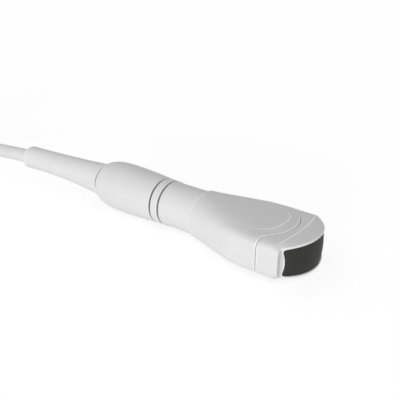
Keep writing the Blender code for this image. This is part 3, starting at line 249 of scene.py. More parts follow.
# Finishes
MOST_OF_NOISE = (0.3, 0.7)  # where most of a noise's values lie
SOFTLY = {"interpolation_type": "SMOOTHSTEP"}
SMOOTH_ANGLE = math.radians(35.0)
# Painted highlights: pale lines laid into the plastics' colour along seams, creases, the dome's edge and the
# rim round the lens, standing in for the light their edges catch
PAINTED_HIGHLIGHT_COLOUR = "#FCFCFC"
HIGHLIGHT_LINE_WIDTH = 0.45  # of a painted highlight line, in millimetres
SIDE_LINE = 0.3  # strength of the painted highlight lines on the narrow sides
SIDE_HALF_HEIGHT = 4.0 * MM  # of the narrow sides, before they turn into the broad faces
SIDE_FADE = 4.0 * MM
DOME_LINE_HALF_WIDTH = 8.5 * MM  # of the part of the dome's edge whose painted highlight line is at full strength
DOME_LINE_FADE = 6.0 * MM
CREASE_LINE_HALF_WIDTH = 14.0 * MM
CREASE_LINE_FADE = 4.5 * MM
# strength of the painted highlight line along the nose's parting on its narrow sides
NOSE_SIDE_LINE = 0.6
WINDOW_END_HIGHLIGHT = 0.3  # share of the rim's painted highlight at the lens's ends
RIM_HIGHLIGHT = 0.7  # strength of the painted highlight on the rim round the lens
EDGE_HIGHLIGHT = 0.6  # strength of the painted highlight lines round the turned pieces

# Light
SKY_LIGHT = 0.57
LAMP_POWER = 6.8
LAMP_PLACE = (0.1, -1.1, 0.12)
LAMP_AIM = (0.0, 0.0, 0.02)
FLOOR_SHARE = 0.6  # of the floor's white that doesn't take the shadow
FLOOR_GLOW = 1.29


def new_object(name, data):
    """Link an object with the given data into the scene."""
    made = bpy.data.objects.new(name, data)
    bpy.context.scene.collection.objects.link(made)
    return made


def make_camera():
    """The photograph's view: from the lens's side and a little above."""
    data = bpy.data.cameras.new("camera")
    data.lens = CAMERA_LENS
    data.sensor_width = 36.0
    data.clip_start = 0.01
    data.clip_end = 20.0
    camera = new_object("camera", data)
    right = CAMERA_RIGHT.normalized()
    back = right.cross(CAMERA_UP).normalized()
    turn = Matrix((right, back.cross(right), back)).transposed()
    camera.matrix_world = PROBE @ Matrix.Translation(CAMERA_PLACE) @ turn.to_4x4()
    bpy.context.scene.camera = camera


def smoothstep(t):
    """A share that starts and ends gently."""
    t = min(max(t, 0.0), 1.0)
    return 3 * t**2 - 2 * t**3


def linear(colour):
    """An sRGB hex colour as linear red, green, blue and alpha."""
    channels = [int(colour[i : i + 2], 16) / 255 for i in (1, 3, 5)]
    return [c / 12.92 if c <= 0.04045 else ((c + 0.055) / 1.055) ** 2.4 for c in channels] + [1.0]


def add(tree, kind, values, out=0, stops=(), **settings):
    """Add a node and return one of its outputs. Values are its inputs or what links to them; stops are a
    ramp's (place, hex colour) pairs; the rest is the node's own settings."""
    made = tree.nodes.new("ShaderNode" + kind)
    for name, value in settings.items():
        setattr(made, name, value)
    for name, value in values.items():
        if isinstance(value, bpy.types.NodeSocket):
            tree.links.new(value, made.inputs[name])
        else:
            made.inputs[name].default_value = value
    if stops:
        elements = made.color_ramp.elements
        while len(elements) < len(stops):
            elements.new(0.5)
        for element, (place, tone) in zip(elements, stops):
            element.position = place
            element.color = linear(tone)
    return made.outputs[out]


def new_material(name, **values):
    """A material with a Principled surface, its node tree and its object coordinates."""
    made = bpy.data.materials.new(name)
    made.use_nodes = True
    tree = made.node_tree
    for socket, value in values.items():
        tree.nodes["Principled BSDF"].inputs[socket.replace("_", " ")].default_value = value
    return made, tree, add(tree, "TexCoord", {}, "Object")


def finish_object(name, bm, paint, replaces=(), place=None):
    """Set a bmesh on its axis and link it as a piece that rides on the probe, smooth where it is round."""
    if place is not None:
        bmesh.ops.transform(bm, matrix=place, verts=bm.verts)
    bmesh.ops.recalc_face_normals(bm, faces=bm.faces)
    mesh = bpy.data.meshes.new(name)
    bm.to_mesh(mesh)
    bm.free()
    mesh.materials.append(paint)
    mesh.shade_smooth()
    mesh.set_sharp_from_angle(angle=SMOOTH_ANGLE)
    piece = new_object(name, mesh)
    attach(piece, "root")
    if replaces:
        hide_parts(*replaces)
    return piece


def new_bmesh():
    """A bmesh whose points remember their section and their place round it."""
    bm = bmesh.new()
    bm.verts.layers.int.new("around")
    bm.verts.layers.int.new("section")
    return bm


def skin(bm, sections, closed=True):
    """Draw a tube through sections of equal point counts by extruding one ring; closed joins its two ends."""
    around = bm.verts.layers.int["around"]
    station = bm.verts.layers.int["section"]
    ring = bmesh.ops.create_circle(bm, segments=len(sections[0]), radius=1.0)["verts"]
    for index, vert in enumerate(ring):
        vert[around] = index
        vert.co = sections[0][index]
    ring = set(ring)
    edges = [edge for edge in bm.edges if edge.verts[0] in ring and edge.verts[1] in ring]
    first = edges
    for number, section in enumerate(sections[1:], start=1):
        made = bmesh.ops.extrude_edge_only(bm, edges=edges)["geom"]
        ring = {item for item in made if isinstance(item, bmesh.types.BMVert)}
        for vert in ring:
            vert.co = section[vert[around]]
            vert[station] = number
        edges = [
            item
            for item in made
            if isinstance(item, bmesh.types.BMEdge) and item.verts[0] in ring and item.verts[1] in ring
        ]
    if closed:
        bmesh.ops.bridge_loops(bm, edges=first + edges)
    return first, edges


def arc_profile(centre, radius, start, end, steps):
    """Points of a small arc in a profile, angles in degrees."""
    found = []
    for i in range(steps + 1):
        angle = math.radians(start + (end - start) * i / steps)
        found.append((centre[0] + radius * math.cos(angle), centre[1] + radius * math.sin(angle)))
    return found


def rounded(profile, radius, steps=4, closed=True):
    """A profile with each of its corners rounded by up to the radius."""
    found = []
    count = len(profile)
    for i, corner in enumerate(profile):
        here = Vector(corner[:2])
        limit = corner[2] if len(corner) > 2 else radius
        if limit == 0.0 or (not closed and i in (0, count - 1)):
            found.append(here)
            continue
        before = Vector(profile[i - 1][:2]) - here
        after = Vector(profile[(i + 1) % count][:2]) - here
        reach = min(limit, 0.45 * before.length, 0.45 * after.length)
        start = here + before.normalized() * reach
        end = here + after.normalized() * reach
        for k in range(steps + 1):
            t = k / steps
            found.append(start * (1 - t) ** 2 + here * (2 * t * (1 - t)) + end * t**2)
    return found


def quarter(radius, steps):
    """A quarter round as pairs: one grows from nought to the radius while the other shrinks to nought."""
    angles = [math.pi / 2 * k / steps for k in range(steps + 1)]
    return [(radius * (1 - math.cos(angle)), radius * (1 - math.sin(angle))) for angle in angles]


def nearest_line(x, lines):
    """Distance to the nearest of some rising places: its sign changes at each, and nowhere else."""
    sign = 1.0
    for here, there in zip(lines, lines[1:]):
        if x < (here + there) / 2:
            return sign * (x - here)
        sign = -sign
    return sign * (x - lines[-1])


def draw_highlight_lines(bm, distance_at, strength_at):
    """Store each point's distance from the moulding's painted highlight lines, in millimetres, and their
    strength.
    """
    distance = bm.verts.layers.float.new("highlight_distance")
    strength = bm.verts.layers.float.new("highlight_strength")
    for vert in bm.verts:
        vert[distance] = distance_at(vert) / MM
        vert[strength] = strength_at(vert)


def turned(
    name, profile, paint, replaces=(), place=PROBE, steps=TURNED_STEPS, shape=None, closed=True,
    lines=(),
):
    """Spin a profile of (x, radius) points about X and set it on an axis, with painted highlight lines round
    it.
    """
    bm = bmesh.new()
    verts = [bm.verts.new((point[0], 0.0, point[1])) for point in profile]
    pairs = list(zip(verts, verts[1:]))
    if closed:
        pairs.append((verts[-1], verts[0]))
    edges = [bm.edges.new(pair) for pair in pairs]
    geom = verts + edges
    bmesh.ops.spin(bm, geom=geom, axis=(1, 0, 0), angle=2 * math.pi, steps=steps, use_merge=True)
    bmesh.ops.remove_doubles(bm, verts=bm.verts, dist=0.001 * MM)
    if lines:
        draw_highlight_lines(bm, lambda vert: nearest_line(vert.co.x, lines), lambda vert: EDGE_HIGHLIGHT)
    if shape:
        for vert in bm.verts:
            vert.co = shape(vert.co)
    return finish_object(name, bm, paint, replaces, place)


make_camera()


def hank_point(travel, lane, height):
    """A point in the hank: travel runs along the hank's mean line, from the far side's front end."""
    travel %= HANK_TURN
    if travel < HANK_STRAIGHT:
        x, y = -travel, lane
    elif travel < HANK_STRAIGHT + HANK_FOLD:
        angle = math.pi / 2 + (travel - HANK_STRAIGHT) / HANK_MEAN_RADIUS
        x, y = -HANK_STRAIGHT + lane * math.cos(angle), lane * math.sin(angle)
    elif travel < 2 * HANK_STRAIGHT + HANK_FOLD:
        x, y = travel - HANK_FOLD - 2 * HANK_STRAIGHT, -lane
    else:
        angle = (travel - HANK_FOLD - 2 * HANK_STRAIGHT) / HANK_MEAN_RADIUS - math.pi / 2
        x, y = lane * math.cos(angle), lane * math.sin(angle)
    return Vector((HANK_FRONT_FOLD.x + x, HANK_FRONT_FOLD.y + y, height))


def layer_height(layer):
    """Height of the cable's middle in a layer of the hank, or on top of it."""
    return HANK_BOTTOM + CABLE_RADIUS + layer * CABLE_DIAMETER


def boot_centre(x):
    """The strain relief's centre line, which droops a little with the weight of the cable."""
    root = REAR_END_X - 6.0 * MM
    if x >= root:
        return 0.0
    return -BOOT_DROOP * ((root - x) / (root - BOOT_END_X)) ** BOOT_DROOP_POWER


def cable_points():
    """The cable's centre line: the lead, the turns of the hank, and the tail that ends in the plug."""
    exit_x = BOOT_END_X + GAP
    points = [PROBE @ Vector((exit_x, 0.0, boot_centre(exit_x)))]
    points += [Vector(point) * MM for point in CABLE_ROUTE]
    outer, inner = HANK_OUTER_LANE, HANK_FOLD_RADIUS
    places = [
        (outer, layer_height(0)),
        (inner, layer_height(0)),
        (inner, layer_height(1)),
        (outer, layer_height(1)),
        (outer, layer_height(2)),
        (inner, layer_height(2)),
        (inner, HANK_TOP + GAP + CABLE_RADIUS),
    ]
    last_move = len(places) - 2
    first = 10.0 * MM
    end = last_move * HANK_TURN + FIRST_MOVE - last_move * MOVE_STEP + MOVE_LENGTH
    count = round((end - first) / HANK_TURN * TURN_POINTS)
    for k in range(count + 1):
        travel = first + (end - first) * k / count
        turn = min(int(travel / HANK_TURN), last_move)
        share = smoothstep((travel - turn * HANK_TURN - FIRST_MOVE + turn * MOVE_STEP) / MOVE_LENGTH)
        here, there = Vector(places[turn]), Vector(places[turn + 1])
        lane, height = here + (there - here) * share
        points.append(hank_point(travel, lane, height))
    centre = HANK_FRONT_FOLD - Vector((HANK_STRAIGHT, 0.0))
    start = math.atan2(points[-1].y - centre.y, points[-1].x - centre.x)
    turn_left = (PLUG_HEADING - math.pi / 2 - start) % (2 * math.pi)
    for k in range(1, TAIL_STEPS + 1):
        share = k / TAIL_STEPS
        angle = start + turn_left * share
        height = places[-1][1] + TAIL_CLIMB * smoothstep(share)
        out = Vector((math.cos(angle), math.sin(angle))) * HANK_FOLD_RADIUS
        points.append(Vector((centre.x + out.x, centre.y + out.y, height)))
    heading = Vector((math.cos(PLUG_HEADING), math.sin(PLUG_HEADING), 0.0))
    points.append(points[-1] + heading * PLUG_TAIL / 2)
    points.append(points[-1] + heading * PLUG_TAIL / 2)
    points.append(points[-1] + heading * PLUG_GRIP)
    return points


def make_cable(paint):
    """One smooth round curve through the whole route."""
    points = cable_points()
    curve = bpy.data.curves.new("probe_cable", "CURVE")
    curve.dimensions = "3D"
    curve.bevel_depth = CABLE_RADIUS
    curve.bevel_resolution = 6
    curve.resolution_u = 5
    curve.use_fill_caps = True
    spline = curve.splines.new("BEZIER")
    spline.bezier_points.add(len(points) - 1)
    for knot, place in zip(spline.bezier_points, points):
        knot.co = place
        knot.handle_left_type = "AUTO"
        knot.handle_right_type = "AUTO"
    curve.materials.append(paint)
    cable = new_object("probe_cable", curve)
    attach(cable, "root")
    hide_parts("cable", "cable_hank", "cable_tail")
    return cable, points


def head_size(x):
    """Half width, half thickness and squareness of the head's outer form at x."""
    span = PARTING_SIDE_X - NECK_SEAM_X
    stations = []
    for along, wider, thinner, power in HEAD_FLARE:
        half_width = HEAD_START_RADIUS + wider * (HEAD_HALF_WIDTH - HEAD_START_RADIUS)
        half_thickness = HEAD_START_RADIUS - thinner * (HEAD_START_RADIUS - HEAD_HALF_THICKNESS)
        stations.append((NECK_SEAM_X + along * span, half_width, half_thickness, power))
    stations += [
        (CREASE_X, NOSE_HALF_WIDTH, CREASE_HALF_THICKNESS, NOSE_SQUARENESS),
        (LENS_APEX_X, NOSE_HALF_WIDTH, CREASE_HALF_THICKNESS, NOSE_SQUARENESS),
    ]
    if x >= CREASE_X:
        return list(stations[-1][1:])
    last = max(i for i in range(len(stations) - 1) if stations[i][0] <= x)
    (x0, *one), (x1, *two) = stations[last : last + 2]
    before = stations[max(last - 1, 0)]
    after = stations[min(last + 2, len(stations) - 1)]
    t = (x - x0) / (x1 - x0)
    sizes = []
    for k, (a, b) in enumerate(zip(one, two)):
        rise_in = (b - before[k + 1]) / (x1 - before[0]) * (x1 - x0)
        rise_out = (after[k + 1] - a) / (after[0] - x0) * (x1 - x0)
        sizes.append(
            a * (2 * t**3 - 3 * t**2 + 1)
            + rise_in * (t**3 - 2 * t**2 + t)
            + b * (3 * t**2 - 2 * t**3)
            + rise_out * (t**3 - t**2)
        )
    return sizes


def parting_x(y):
    """Where the parting line crosses the broad faces at y."""
    share = min(abs(y) / PARTING_HALF_WIDTH, 1.0)
    return PARTING_SIDE_X + PARTING_BULGE * (1 - share**PARTING_POWER)


def front_x(y):
    """Where the nose piece ends at y: on its arc, or at the flat cheek beside it."""
    return max(CHEEK_X, LENS_CENTRE_X + math.sqrt(max(0.0, NOSE_FRONT_RADIUS**2 - y**2)))


def dome_edge_x(y):
    """Where the domed middle of the broad faces ends."""
    return DOME_END_X - DOME_LENGTH * min(abs(y) / DOME_HALF_WIDTH, 1.0) ** DOME_POWER


def dome_rise(x, y):
    """How far the domed middle of a broad face stands out, fading to the sides."""
    share = min(abs(y) / DOME_HALF_WIDTH, 1.0)
    ahead = min(max((x - dome_edge_x(y)) / DOME_EDGE_WIDTH, 0.0), 1.0)
    grown = smoothstep((x - NECK_SEAM_X) / DOME_RUN_IN)
    return DOME_RISE * grown * (1.0 - ahead) * (1.0 - share**2)


def lens_across(y):
    """Share of the way from the lens's middle to its end."""
    return min(abs(y) / (LENS_RADIUS * math.sin(LENS_HALF_ANGLE)), 1.0)


def rim_half_thickness(y):
    """Half the nose's thickness at its front edge, greatest in the middle of the lens."""
    return RIM_END_HALF_THICKNESS + RIM_BARREL * (1 - lens_across(y) ** 2)


def crease_x(y):
    """Where the nose's crease crosses the broad faces."""
    return CREASE_X - CREASE_BOW * (y / NOSE_HALF_WIDTH) ** 2


def section_turns(count):
    """The directions of a section's points, with more of them at its corners."""
    turns = [2 * math.pi * (index + 0.5) / count for index in range(count)]
    return [turn + CORNER_CROWDING * math.sin(4 * turn) for turn in turns]


def squircle(half_width, half_height, power, turn):
    """A point of a section that is round for power 2 and squarer above."""
    across, up = math.cos(turn), math.sin(turn)
    reach = (abs(across) ** power + abs(up) ** power) ** (-1 / power)
    return half_width * across * reach, half_height * up * reach


def head_point(x, turn, inset=0.0):
    """A point on the head's outer form: its dome, its U-shaped edge, its crease and its rim."""
    half_width, half_thickness, power = head_size(x)
    y, z = squircle(half_width - inset, half_thickness - inset, power, turn)
    crease = crease_x(y)
    past = min(max(0.0, (x - crease) / (front_x(y) - crease)), 1.2)
    keep = 1.0 - (1.0 - rim_half_thickness(y) / CREASE_HALF_THICKNESS) * past
    return Vector((x, y, z * keep * (1.0 + dome_rise(x, y) / half_thickness)))


def edge_place(turn, edge, start):
    """Where a line across the head, given by its x at each y, meets one direction of its section."""
    x = start
    for _ in range(4):
        x = edge(head_point(x, turn).y)
    return x


def head_rings(starts, ends, steps, inset=0.0):
    """Sections between two lines across the head, each given by its x at every direction."""
    rings = []
    for k in range(steps + 1):
        share = k / steps
        ring = []
        for turn, start, end in zip(section_turns(HEAD_AROUND), starts, ends):
            ring.append(head_point(start + (end - start) * share, turn, inset))
        rings.append(ring)
    return rings


def broad_share(z):
    """One on the broad faces and nought on the narrow sides."""
    return smoothstep((abs(z) - SIDE_HALF_HEIGHT) / SIDE_FADE)


def head_line_strength(vert):
    """The dome edge's painted highlight fades towards the sides; the other painted highlight lines run all
    the way round.
    """
    x, y, z = vert.co
    if (NECK_SEAM_X + dome_edge_x(y)) / 2 < x < (dome_edge_x(y) + parting_x(y)) / 2:
        return 1.0 - smoothstep((abs(y) - DOME_LINE_HALF_WIDTH) / DOME_LINE_FADE)
    return SIDE_LINE + (1.0 - SIDE_LINE) * broad_share(z)


def make_head(paint):
    """The head's main moulding, from its bead at the neck to its rounded lip at the parting line."""
    bm = new_bmesh()
    turns = section_turns(HEAD_AROUND)
    start = NECK_SEAM_X + GAP
    ends = [edge_place(turn, parting_x, PARTING_SIDE_X) for turn in turns]
    lip_ends = [x - LIP for x in ends]
    mouth = SPIGOT_RADIUS + GAP
    rings = []
    for along, inset in quarter(BEAD, EDGE_STEPS):
        rings.append([Vector((start + along, *head_point(start + BEAD, turn, inset).yz)) for turn in turns])
    rings += head_rings([start + BEAD] * HEAD_AROUND, lip_ends, 124)[1:]
    for inset, short in quarter(LIP, EDGE_STEPS)[1:]:
        ring = [(x + LIP - short, *head_point(x, turn, inset).yz) for x, turn in zip(lip_ends, turns)]
        rings.append([Vector(point) for point in ring])
    outer_count = len(rings)
    inner_start = start + FRONT_SPIGOT_LENGTH + WALL
    rings.append([Vector((x, *head_point(x - LIP, turn, WALL).yz)) for x, turn in zip(ends, turns)])
    rings += head_rings([x - LIP for x in ends], [inner_start] * HEAD_AROUND, 16, WALL)
    for x in (start + FRONT_SPIGOT_LENGTH + GAP, start):
        rings.append([Vector((x, mouth * math.cos(turn), mouth * math.sin(turn))) for turn in turns])
    skin(bm, rings)
    section = bm.verts.layers.int["section"]
    # Painted highlight lines along the neck bead, the dome's edge and the parting lip
    draw_highlight_lines(
        bm,
        lambda vert: nearest_line(
            vert.co.x, (start + BEAD / 2, dome_edge_x(vert.co.y), parting_x(vert.co.y) - LIP)
        ),
        lambda vert: head_line_strength(vert) if vert[section] < outer_count else 0.0,
    )
    return finish_object("head_casing", bm, paint, ["head_shell"], PROBE)


def window_point(turn, radius, grow=0.0):
    """A point on the lens window's edge: barrel-shaped, with ends that bow in at mid height."""
    half_height = LENS_END_HALF_HEIGHT + grow
    along, z = squircle(LENS_RADIUS * LENS_HALF_ANGLE + grow, half_height, LENS_SQUARENESS, turn)
    bow = LENS_END_BOW * (1 - (z / half_height) ** 2)
    share = along / (LENS_RADIUS * LENS_HALF_ANGLE + grow)
    angle = (along - bow * share) / LENS_RADIUS
    z *= 1.0 + LENS_BARREL * (1 - share**2) / half_height
    return Vector((LENS_CENTRE_X + radius * math.cos(angle), radius * math.sin(angle), z))


def make_nose(paint):
    """The nose: spigot, rounded lip at the parting, crease, rim and the bowed window for the lens."""
    bm = new_bmesh()
    turns = section_turns(HEAD_AROUND)
    parting = [edge_place(turn, parting_x, PARTING_SIDE_X) + GAP for turn in turns]
    creases = [edge_place(turn, crease_x, CREASE_X) for turn in turns]
    fronts = [edge_place(turn, front_x, CHEEK_X) for turn in turns]
    spigot_start = PARTING_SIDE_X - NOSE_SPIGOT_LENGTH
    rings = head_rings([spigot_start] * HEAD_AROUND, [x - 0.1 * MM for x in parting], 6, WALL + GAP)
    for along, inset in quarter(LIP, EDGE_STEPS):
        ring = [(x + along, *head_point(x + LIP, turn, inset).yz) for x, turn in zip(parting, turns)]
        rings.append([Vector(point) for point in ring])
    rings += head_rings([x + LIP for x in parting], creases, 12)[1:]
    rings += head_rings(creases, [x - RIM_EDGE for x in fronts], 16)[1:]
    for inset, short in quarter(RIM_EDGE, EDGE_STEPS)[1:]:
        ring = []
        for x, turn in zip(fronts, turns):
            outer = head_point(x - RIM_EDGE, turn)
            level = 1 - inset / rim_half_thickness(outer.y)
            width = outer.y
            if abs(outer.y) > CHEEK_WIDTH_Y:
                width -= math.copysign(inset, outer.y)
            ring.append(Vector((x - short, width, outer.z * level)))
        rings.append(ring)
    rim_section = len(rings)
    seat = LENS_RADIUS - LENS_THICKNESS - GAP
    knee = []
    for last, turn in zip(rings[-1], turns):
        window = window_point(turn, NOSE_FRONT_RADIUS, LIP)
        if abs(last.y) > CHEEK_WIDTH_Y:
            knee.append(Vector((CHEEK_X, math.copysign(CHEEK_WIDTH_Y, last.y), (last.z + window.z) / 2)))
        else:
            y = (last.y + window.y) / 2
            knee.append(Vector((front_x(y), y, (last.z + window.z) / 2)))
    rings.append(knee)
    for radius, grow in (
        (NOSE_FRONT_RADIUS, LIP),
        (NOSE_FRONT_RADIUS + 0.12 * MM, LIP * 0.6),
        (NOSE_FRONT_RADIUS + 0.1 * MM, LIP * 0.3),
        (NOSE_FRONT_RADIUS - 0.15 * MM, 0.1 * MM),
        (seat, 0.1 * MM),
        (seat, -LENS_LEDGE),
    ):
        rings.append([window_point(turn, radius, grow) for turn in turns])
    window_end = len(rings)
    inner_inset = WALL + GAP + 1.0 * MM
    for x in (CHEEK_X - NOSE_FLOOR_DEPTH, spigot_start):
        half_width, half_thickness, power = head_size(x)
        ring = [squircle(half_width - inner_inset, NOSE_BORE_HALF_HEIGHT, power, turn) for turn in turns]
        rings.append([Vector((x, *point)) for point in ring])
    skin(bm, rings)
    section = bm.verts.layers.int["section"]
    rim_edge = range(rim_section - EDGE_STEPS, rim_section)

    # Painted highlight lines: along the parting lip and the crease, on the rim's front edge and on the rim
    # round the lens
    def distance(vert):
        if vert[section] < rim_edge[0]:
            x, y, z = vert.co
            return nearest_line(x, (parting_x(y) + GAP + LIP, crease_x(y)))
        return 1.0 * MM if vert[section] == rim_section or vert[section] >= window_end else 0.0

    def strength(vert):
        x, y, z = vert.co
        if vert[section] in rim_edge:
            return RIM_HIGHLIGHT * broad_share(z)
        if vert[section] < rim_section:
            if x > (parting_x(y) + crease_x(y)) / 2:
                fade = smoothstep((abs(y) - CREASE_LINE_HALF_WIDTH) / CREASE_LINE_FADE)
                return broad_share(z) * (1.0 - fade)
            return NOSE_SIDE_LINE * (1.0 - broad_share(z))
        if vert[section] < window_end:
            share = smoothstep((abs(z) - SIDE_HALF_HEIGHT) / (2.0 * MM))
            return RIM_HIGHLIGHT * (WINDOW_END_HIGHLIGHT + (1.0 - WINDOW_END_HIGHLIGHT) * share)
        return 0.0

    draw_highlight_lines(bm, distance, strength)
    return finish_object("nose_casing", bm, paint, ["nose_piece"], PROBE)


def make_lens(paint):
    """The lens: a curved silicone slab, crowned over its height, with rounded edges and bowed ends."""
    bm = new_bmesh()
    turns = section_turns(HEAD_AROUND)
    rings = [[window_point(turn, LENS_RADIUS - LENS_THICKNESS) for turn in turns]]
    for inset, sunk in quarter(LENS_EDGE, 4):
        rings.append([window_point(turn, LENS_RADIUS - LENS_CROWN - sunk, -inset) for turn in turns])
    for k in range(1, LENS_RINGS):
        share = 1 - k / LENS_RINGS
        ring = []
        for turn in turns:
            end = window_point(turn, 1.0, -LENS_EDGE)
            z = end.z * share
            angle = math.atan2(end.y, end.x - LENS_CENTRE_X) * share
            reach = LENS_RADIUS - LENS_CROWN * (z / LENS_END_HALF_HEIGHT) ** 2
            ring.append(Vector((LENS_CENTRE_X + reach * math.cos(angle), reach * math.sin(angle), z)))
        rings.append(ring)
    first, last = skin(bm, rings, closed=False)
    bmesh.ops.holes_fill(bm, edges=last, sides=0)
    bmesh.ops.holes_fill(bm, edges=first, sides=0)
    return finish_object("lens_cap", bm, paint, ["acoustic_lens"], PROBE)


def rear_radius(x):
    """Outer radius of the rear shell: full at its bulge, drawn in round the strain relief."""
    if x >= BULGE_X:
        t = (x - BULGE_X) / (REAR_SHELL_FRONT_X - BULGE_X)
        drop = BULGE_RADIUS - COLLAR_RADIUS
        return BULGE_RADIUS - drop * (0.35 * t + 0.65 * t**2) * (1.0 - 0.25 * (1 - t) * t)
    t = (BULGE_X - x) / (BULGE_X - REAR_END_X)
    full = (1 - min(t, 1.0) ** REAR_POWER) ** REAR_ROUNDING
    return REAR_END_RADIUS + (BULGE_RADIUS - REAR_END_RADIUS) * full


def make_neck(shell, seal):
    """The neck sleeve, the collar between the seals, and the two seal rings."""
    seal_bore = SPIGOT_RADIUS + GAP
    lip_radius = COLLAR_RADIUS - 0.25 * MM
    lip_end = LIP_X + LIP_LENGTH
    sleeve = [
        (NECK_SEAM_X + FRONT_SPIGOT_LENGTH, SPIGOT_RADIUS),
        (NECK_SEAM_X, SPIGOT_RADIUS, 0.0),
        (NECK_SEAM_X, NECK_RADIUS, 0.2 * MM),
        (lip_end + 0.5 * MM, NECK_RADIUS, 0.5 * MM),
        (lip_end, lip_radius, 0.4 * MM),
        (LIP_X, lip_radius, 0.2 * MM),
        (LIP_X, SPIGOT_RADIUS, 0.0),
        (-SPIGOT_LENGTH, SPIGOT_RADIUS),
        (-SPIGOT_LENGTH, NECK_BORE),
        (NECK_SEAM_X + FRONT_SPIGOT_LENGTH, NECK_BORE),
    ]
    # Painted highlight lines at the sleeve's lip and round the collar's edges
    turned(
        "neck_casing", rounded(sleeve, 0.3 * MM), shell, ["neck_sleeve"], lines=(LIP_X,)
    )
    collar_front = FRONT_GROOVE_X - GAP
    collar = [
        (collar_front, lip_radius),
        ((collar_front + COLLAR_X) / 2, (lip_radius + COLLAR_RADIUS) / 2, 0.0),
        (COLLAR_X, COLLAR_RADIUS),
        (COLLAR_X, seal_bore, 0.0),
        (collar_front, seal_bore, 0.0),
    ]
    turned(
        "collar_band", rounded(collar, 0.25 * MM), shell, ["collar_ring"],
        lines=(COLLAR_X, collar_front),
    )
    for name, node, centre in (
        ("rear_seal", "seal_ring_rear", 0.0),
        ("front_seal", "seal_ring_front", LIP_X - GROOVE_WIDTH / 2),
    ):
        half = GROOVE_WIDTH / 2 - GAP / 2
        top = COLLAR_RADIUS - GROOVE_DEPTH
        profile = arc_profile((centre, top - half), half, 0.0, 180.0, 10)
        profile += [(centre - half, seal_bore), (centre + half, seal_bore)]
        turned(name, profile, seal, [node])


def make_grip(shell):
    """The bulged rear moulding."""
    outer = [(REAR_SHELL_FRONT_X, rear_radius(REAR_SHELL_FRONT_X))]
    steps = 60
    for i in range(1, steps):
        x = REAR_SHELL_FRONT_X + (REAR_END_X - REAR_SHELL_FRONT_X) * math.sin(math.pi / 2 * i / steps)
        outer.append((x, rear_radius(x), 0.0))
    outer.append((REAR_END_X, REAR_END_RADIUS, 0.2 * MM))
    mouth_x = REAR_END_X + MOUTH_LENGTH
    outer += [(REAR_END_X, MOUTH_RADIUS, 0.2 * MM), (mouth_x, MOUTH_RADIUS, 0.0)]
    for i in range(12):
        x = mouth_x + 0.3 * MM + (-SPIGOT_LENGTH - 3.0 * MM - mouth_x) * i / 11
        outer.append((x, rear_radius(x) - WALL, 0.0))
    socket = SPIGOT_RADIUS + GAP
    outer += [(-SPIGOT_LENGTH - 1.0 * MM, socket, 0.0), (REAR_SHELL_FRONT_X, socket, 0.0)]
    # A painted highlight line at the shell's front edge
    turned(
        "grip_casing", rounded(outer, 0.3 * MM), shell, ["rear_shell"],
        lines=(REAR_SHELL_FRONT_X,),
    )


def make_boot(paint, gasket):
    """The flared strain relief with its rounded lip and painted highlight lines at its lip and root, and the
    gasket between it and the shell, whose darker grey is painted shade for the seam.
    """
    root = REAR_END_X - GAP
    neck = MOUTH_RADIUS - GAP
    flange_x = REAR_END_X + MOUTH_LENGTH + GAP
    bore = CABLE_RADIUS + 0.05 * MM
    profile = [
        (flange_x + BOOT_FLANGE_LENGTH, neck, 0.2 * MM),
        (flange_x + 1.3 * MM, neck + 0.6 * MM, 0.2 * MM),
        (flange_x, neck + 0.6 * MM, 0.0),
        (flange_x, neck, 0.0),
        (root, neck, 0.0),
        (root, BOOT_ROOT_RADIUS - BOOT_GROOVE_DEPTH, 0.0),
        (root - BOOT_GROOVE_WIDTH, BOOT_ROOT_RADIUS - BOOT_GROOVE_DEPTH, 0.15 * MM),
        (root - BOOT_GROOVE_WIDTH - 0.1 * MM, BOOT_ROOT_RADIUS - 0.1 * MM, 0.2 * MM),
    ]
    length = root - BOOT_END_X
    steps = 40
    for i in range(1, steps + 1):
        t = i / steps
        flare = BOOT_WAIST_RADIUS + (BOOT_ROOT_RADIUS - BOOT_WAIST_RADIUS) * (1 - t) ** BOOT_FLARE_POWER
        radius = flare + (BOOT_END_RADIUS - BOOT_WAIST_RADIUS) * t**12
        profile.append((root - (length - BOOT_LIP_LENGTH) * t, radius, 0.0))
    profile += [
        (BOOT_END_X, BOOT_END_RADIUS - 0.1 * MM, 1.0 * MM),
        (BOOT_END_X, bore, 0.5 * MM),
        (flange_x + BOOT_FLANGE_LENGTH, bore, 0.0),
    ]
    profile = rounded(profile, 0.3 * MM, 6)
    inside = [(flange_x + (BOOT_END_X - flange_x) * (1 - i / 20), bore) for i in range(1, 20)]

    def droop(co):
        return co + Vector((0.0, 0.0, boot_centre(co.x)))

    turned(
        "cable_relief", profile + inside, paint, ["strain_relief_boot"], shape=droop,
        lines=(BOOT_END_X + BOOT_LIP_LENGTH, root - BOOT_GROOVE_WIDTH - LIP),
    )
    # The gasket sits in the shadow groove; its darker grey stands in for the shade of the seam between relief
    # and shell
    floor = BOOT_ROOT_RADIUS - BOOT_GROOVE_DEPTH + 0.02 * MM
    crown = BOOT_ROOT_RADIUS - 0.15 * MM
    front, back = root - 0.1 * MM, root - BOOT_GROOVE_WIDTH + 0.1 * MM
    ring = [(front, floor, 0.0), (front, crown), (back, crown), (back, floor, 0.0)]
    turned("relief_gasket", rounded(ring, 0.3 * MM), gasket)


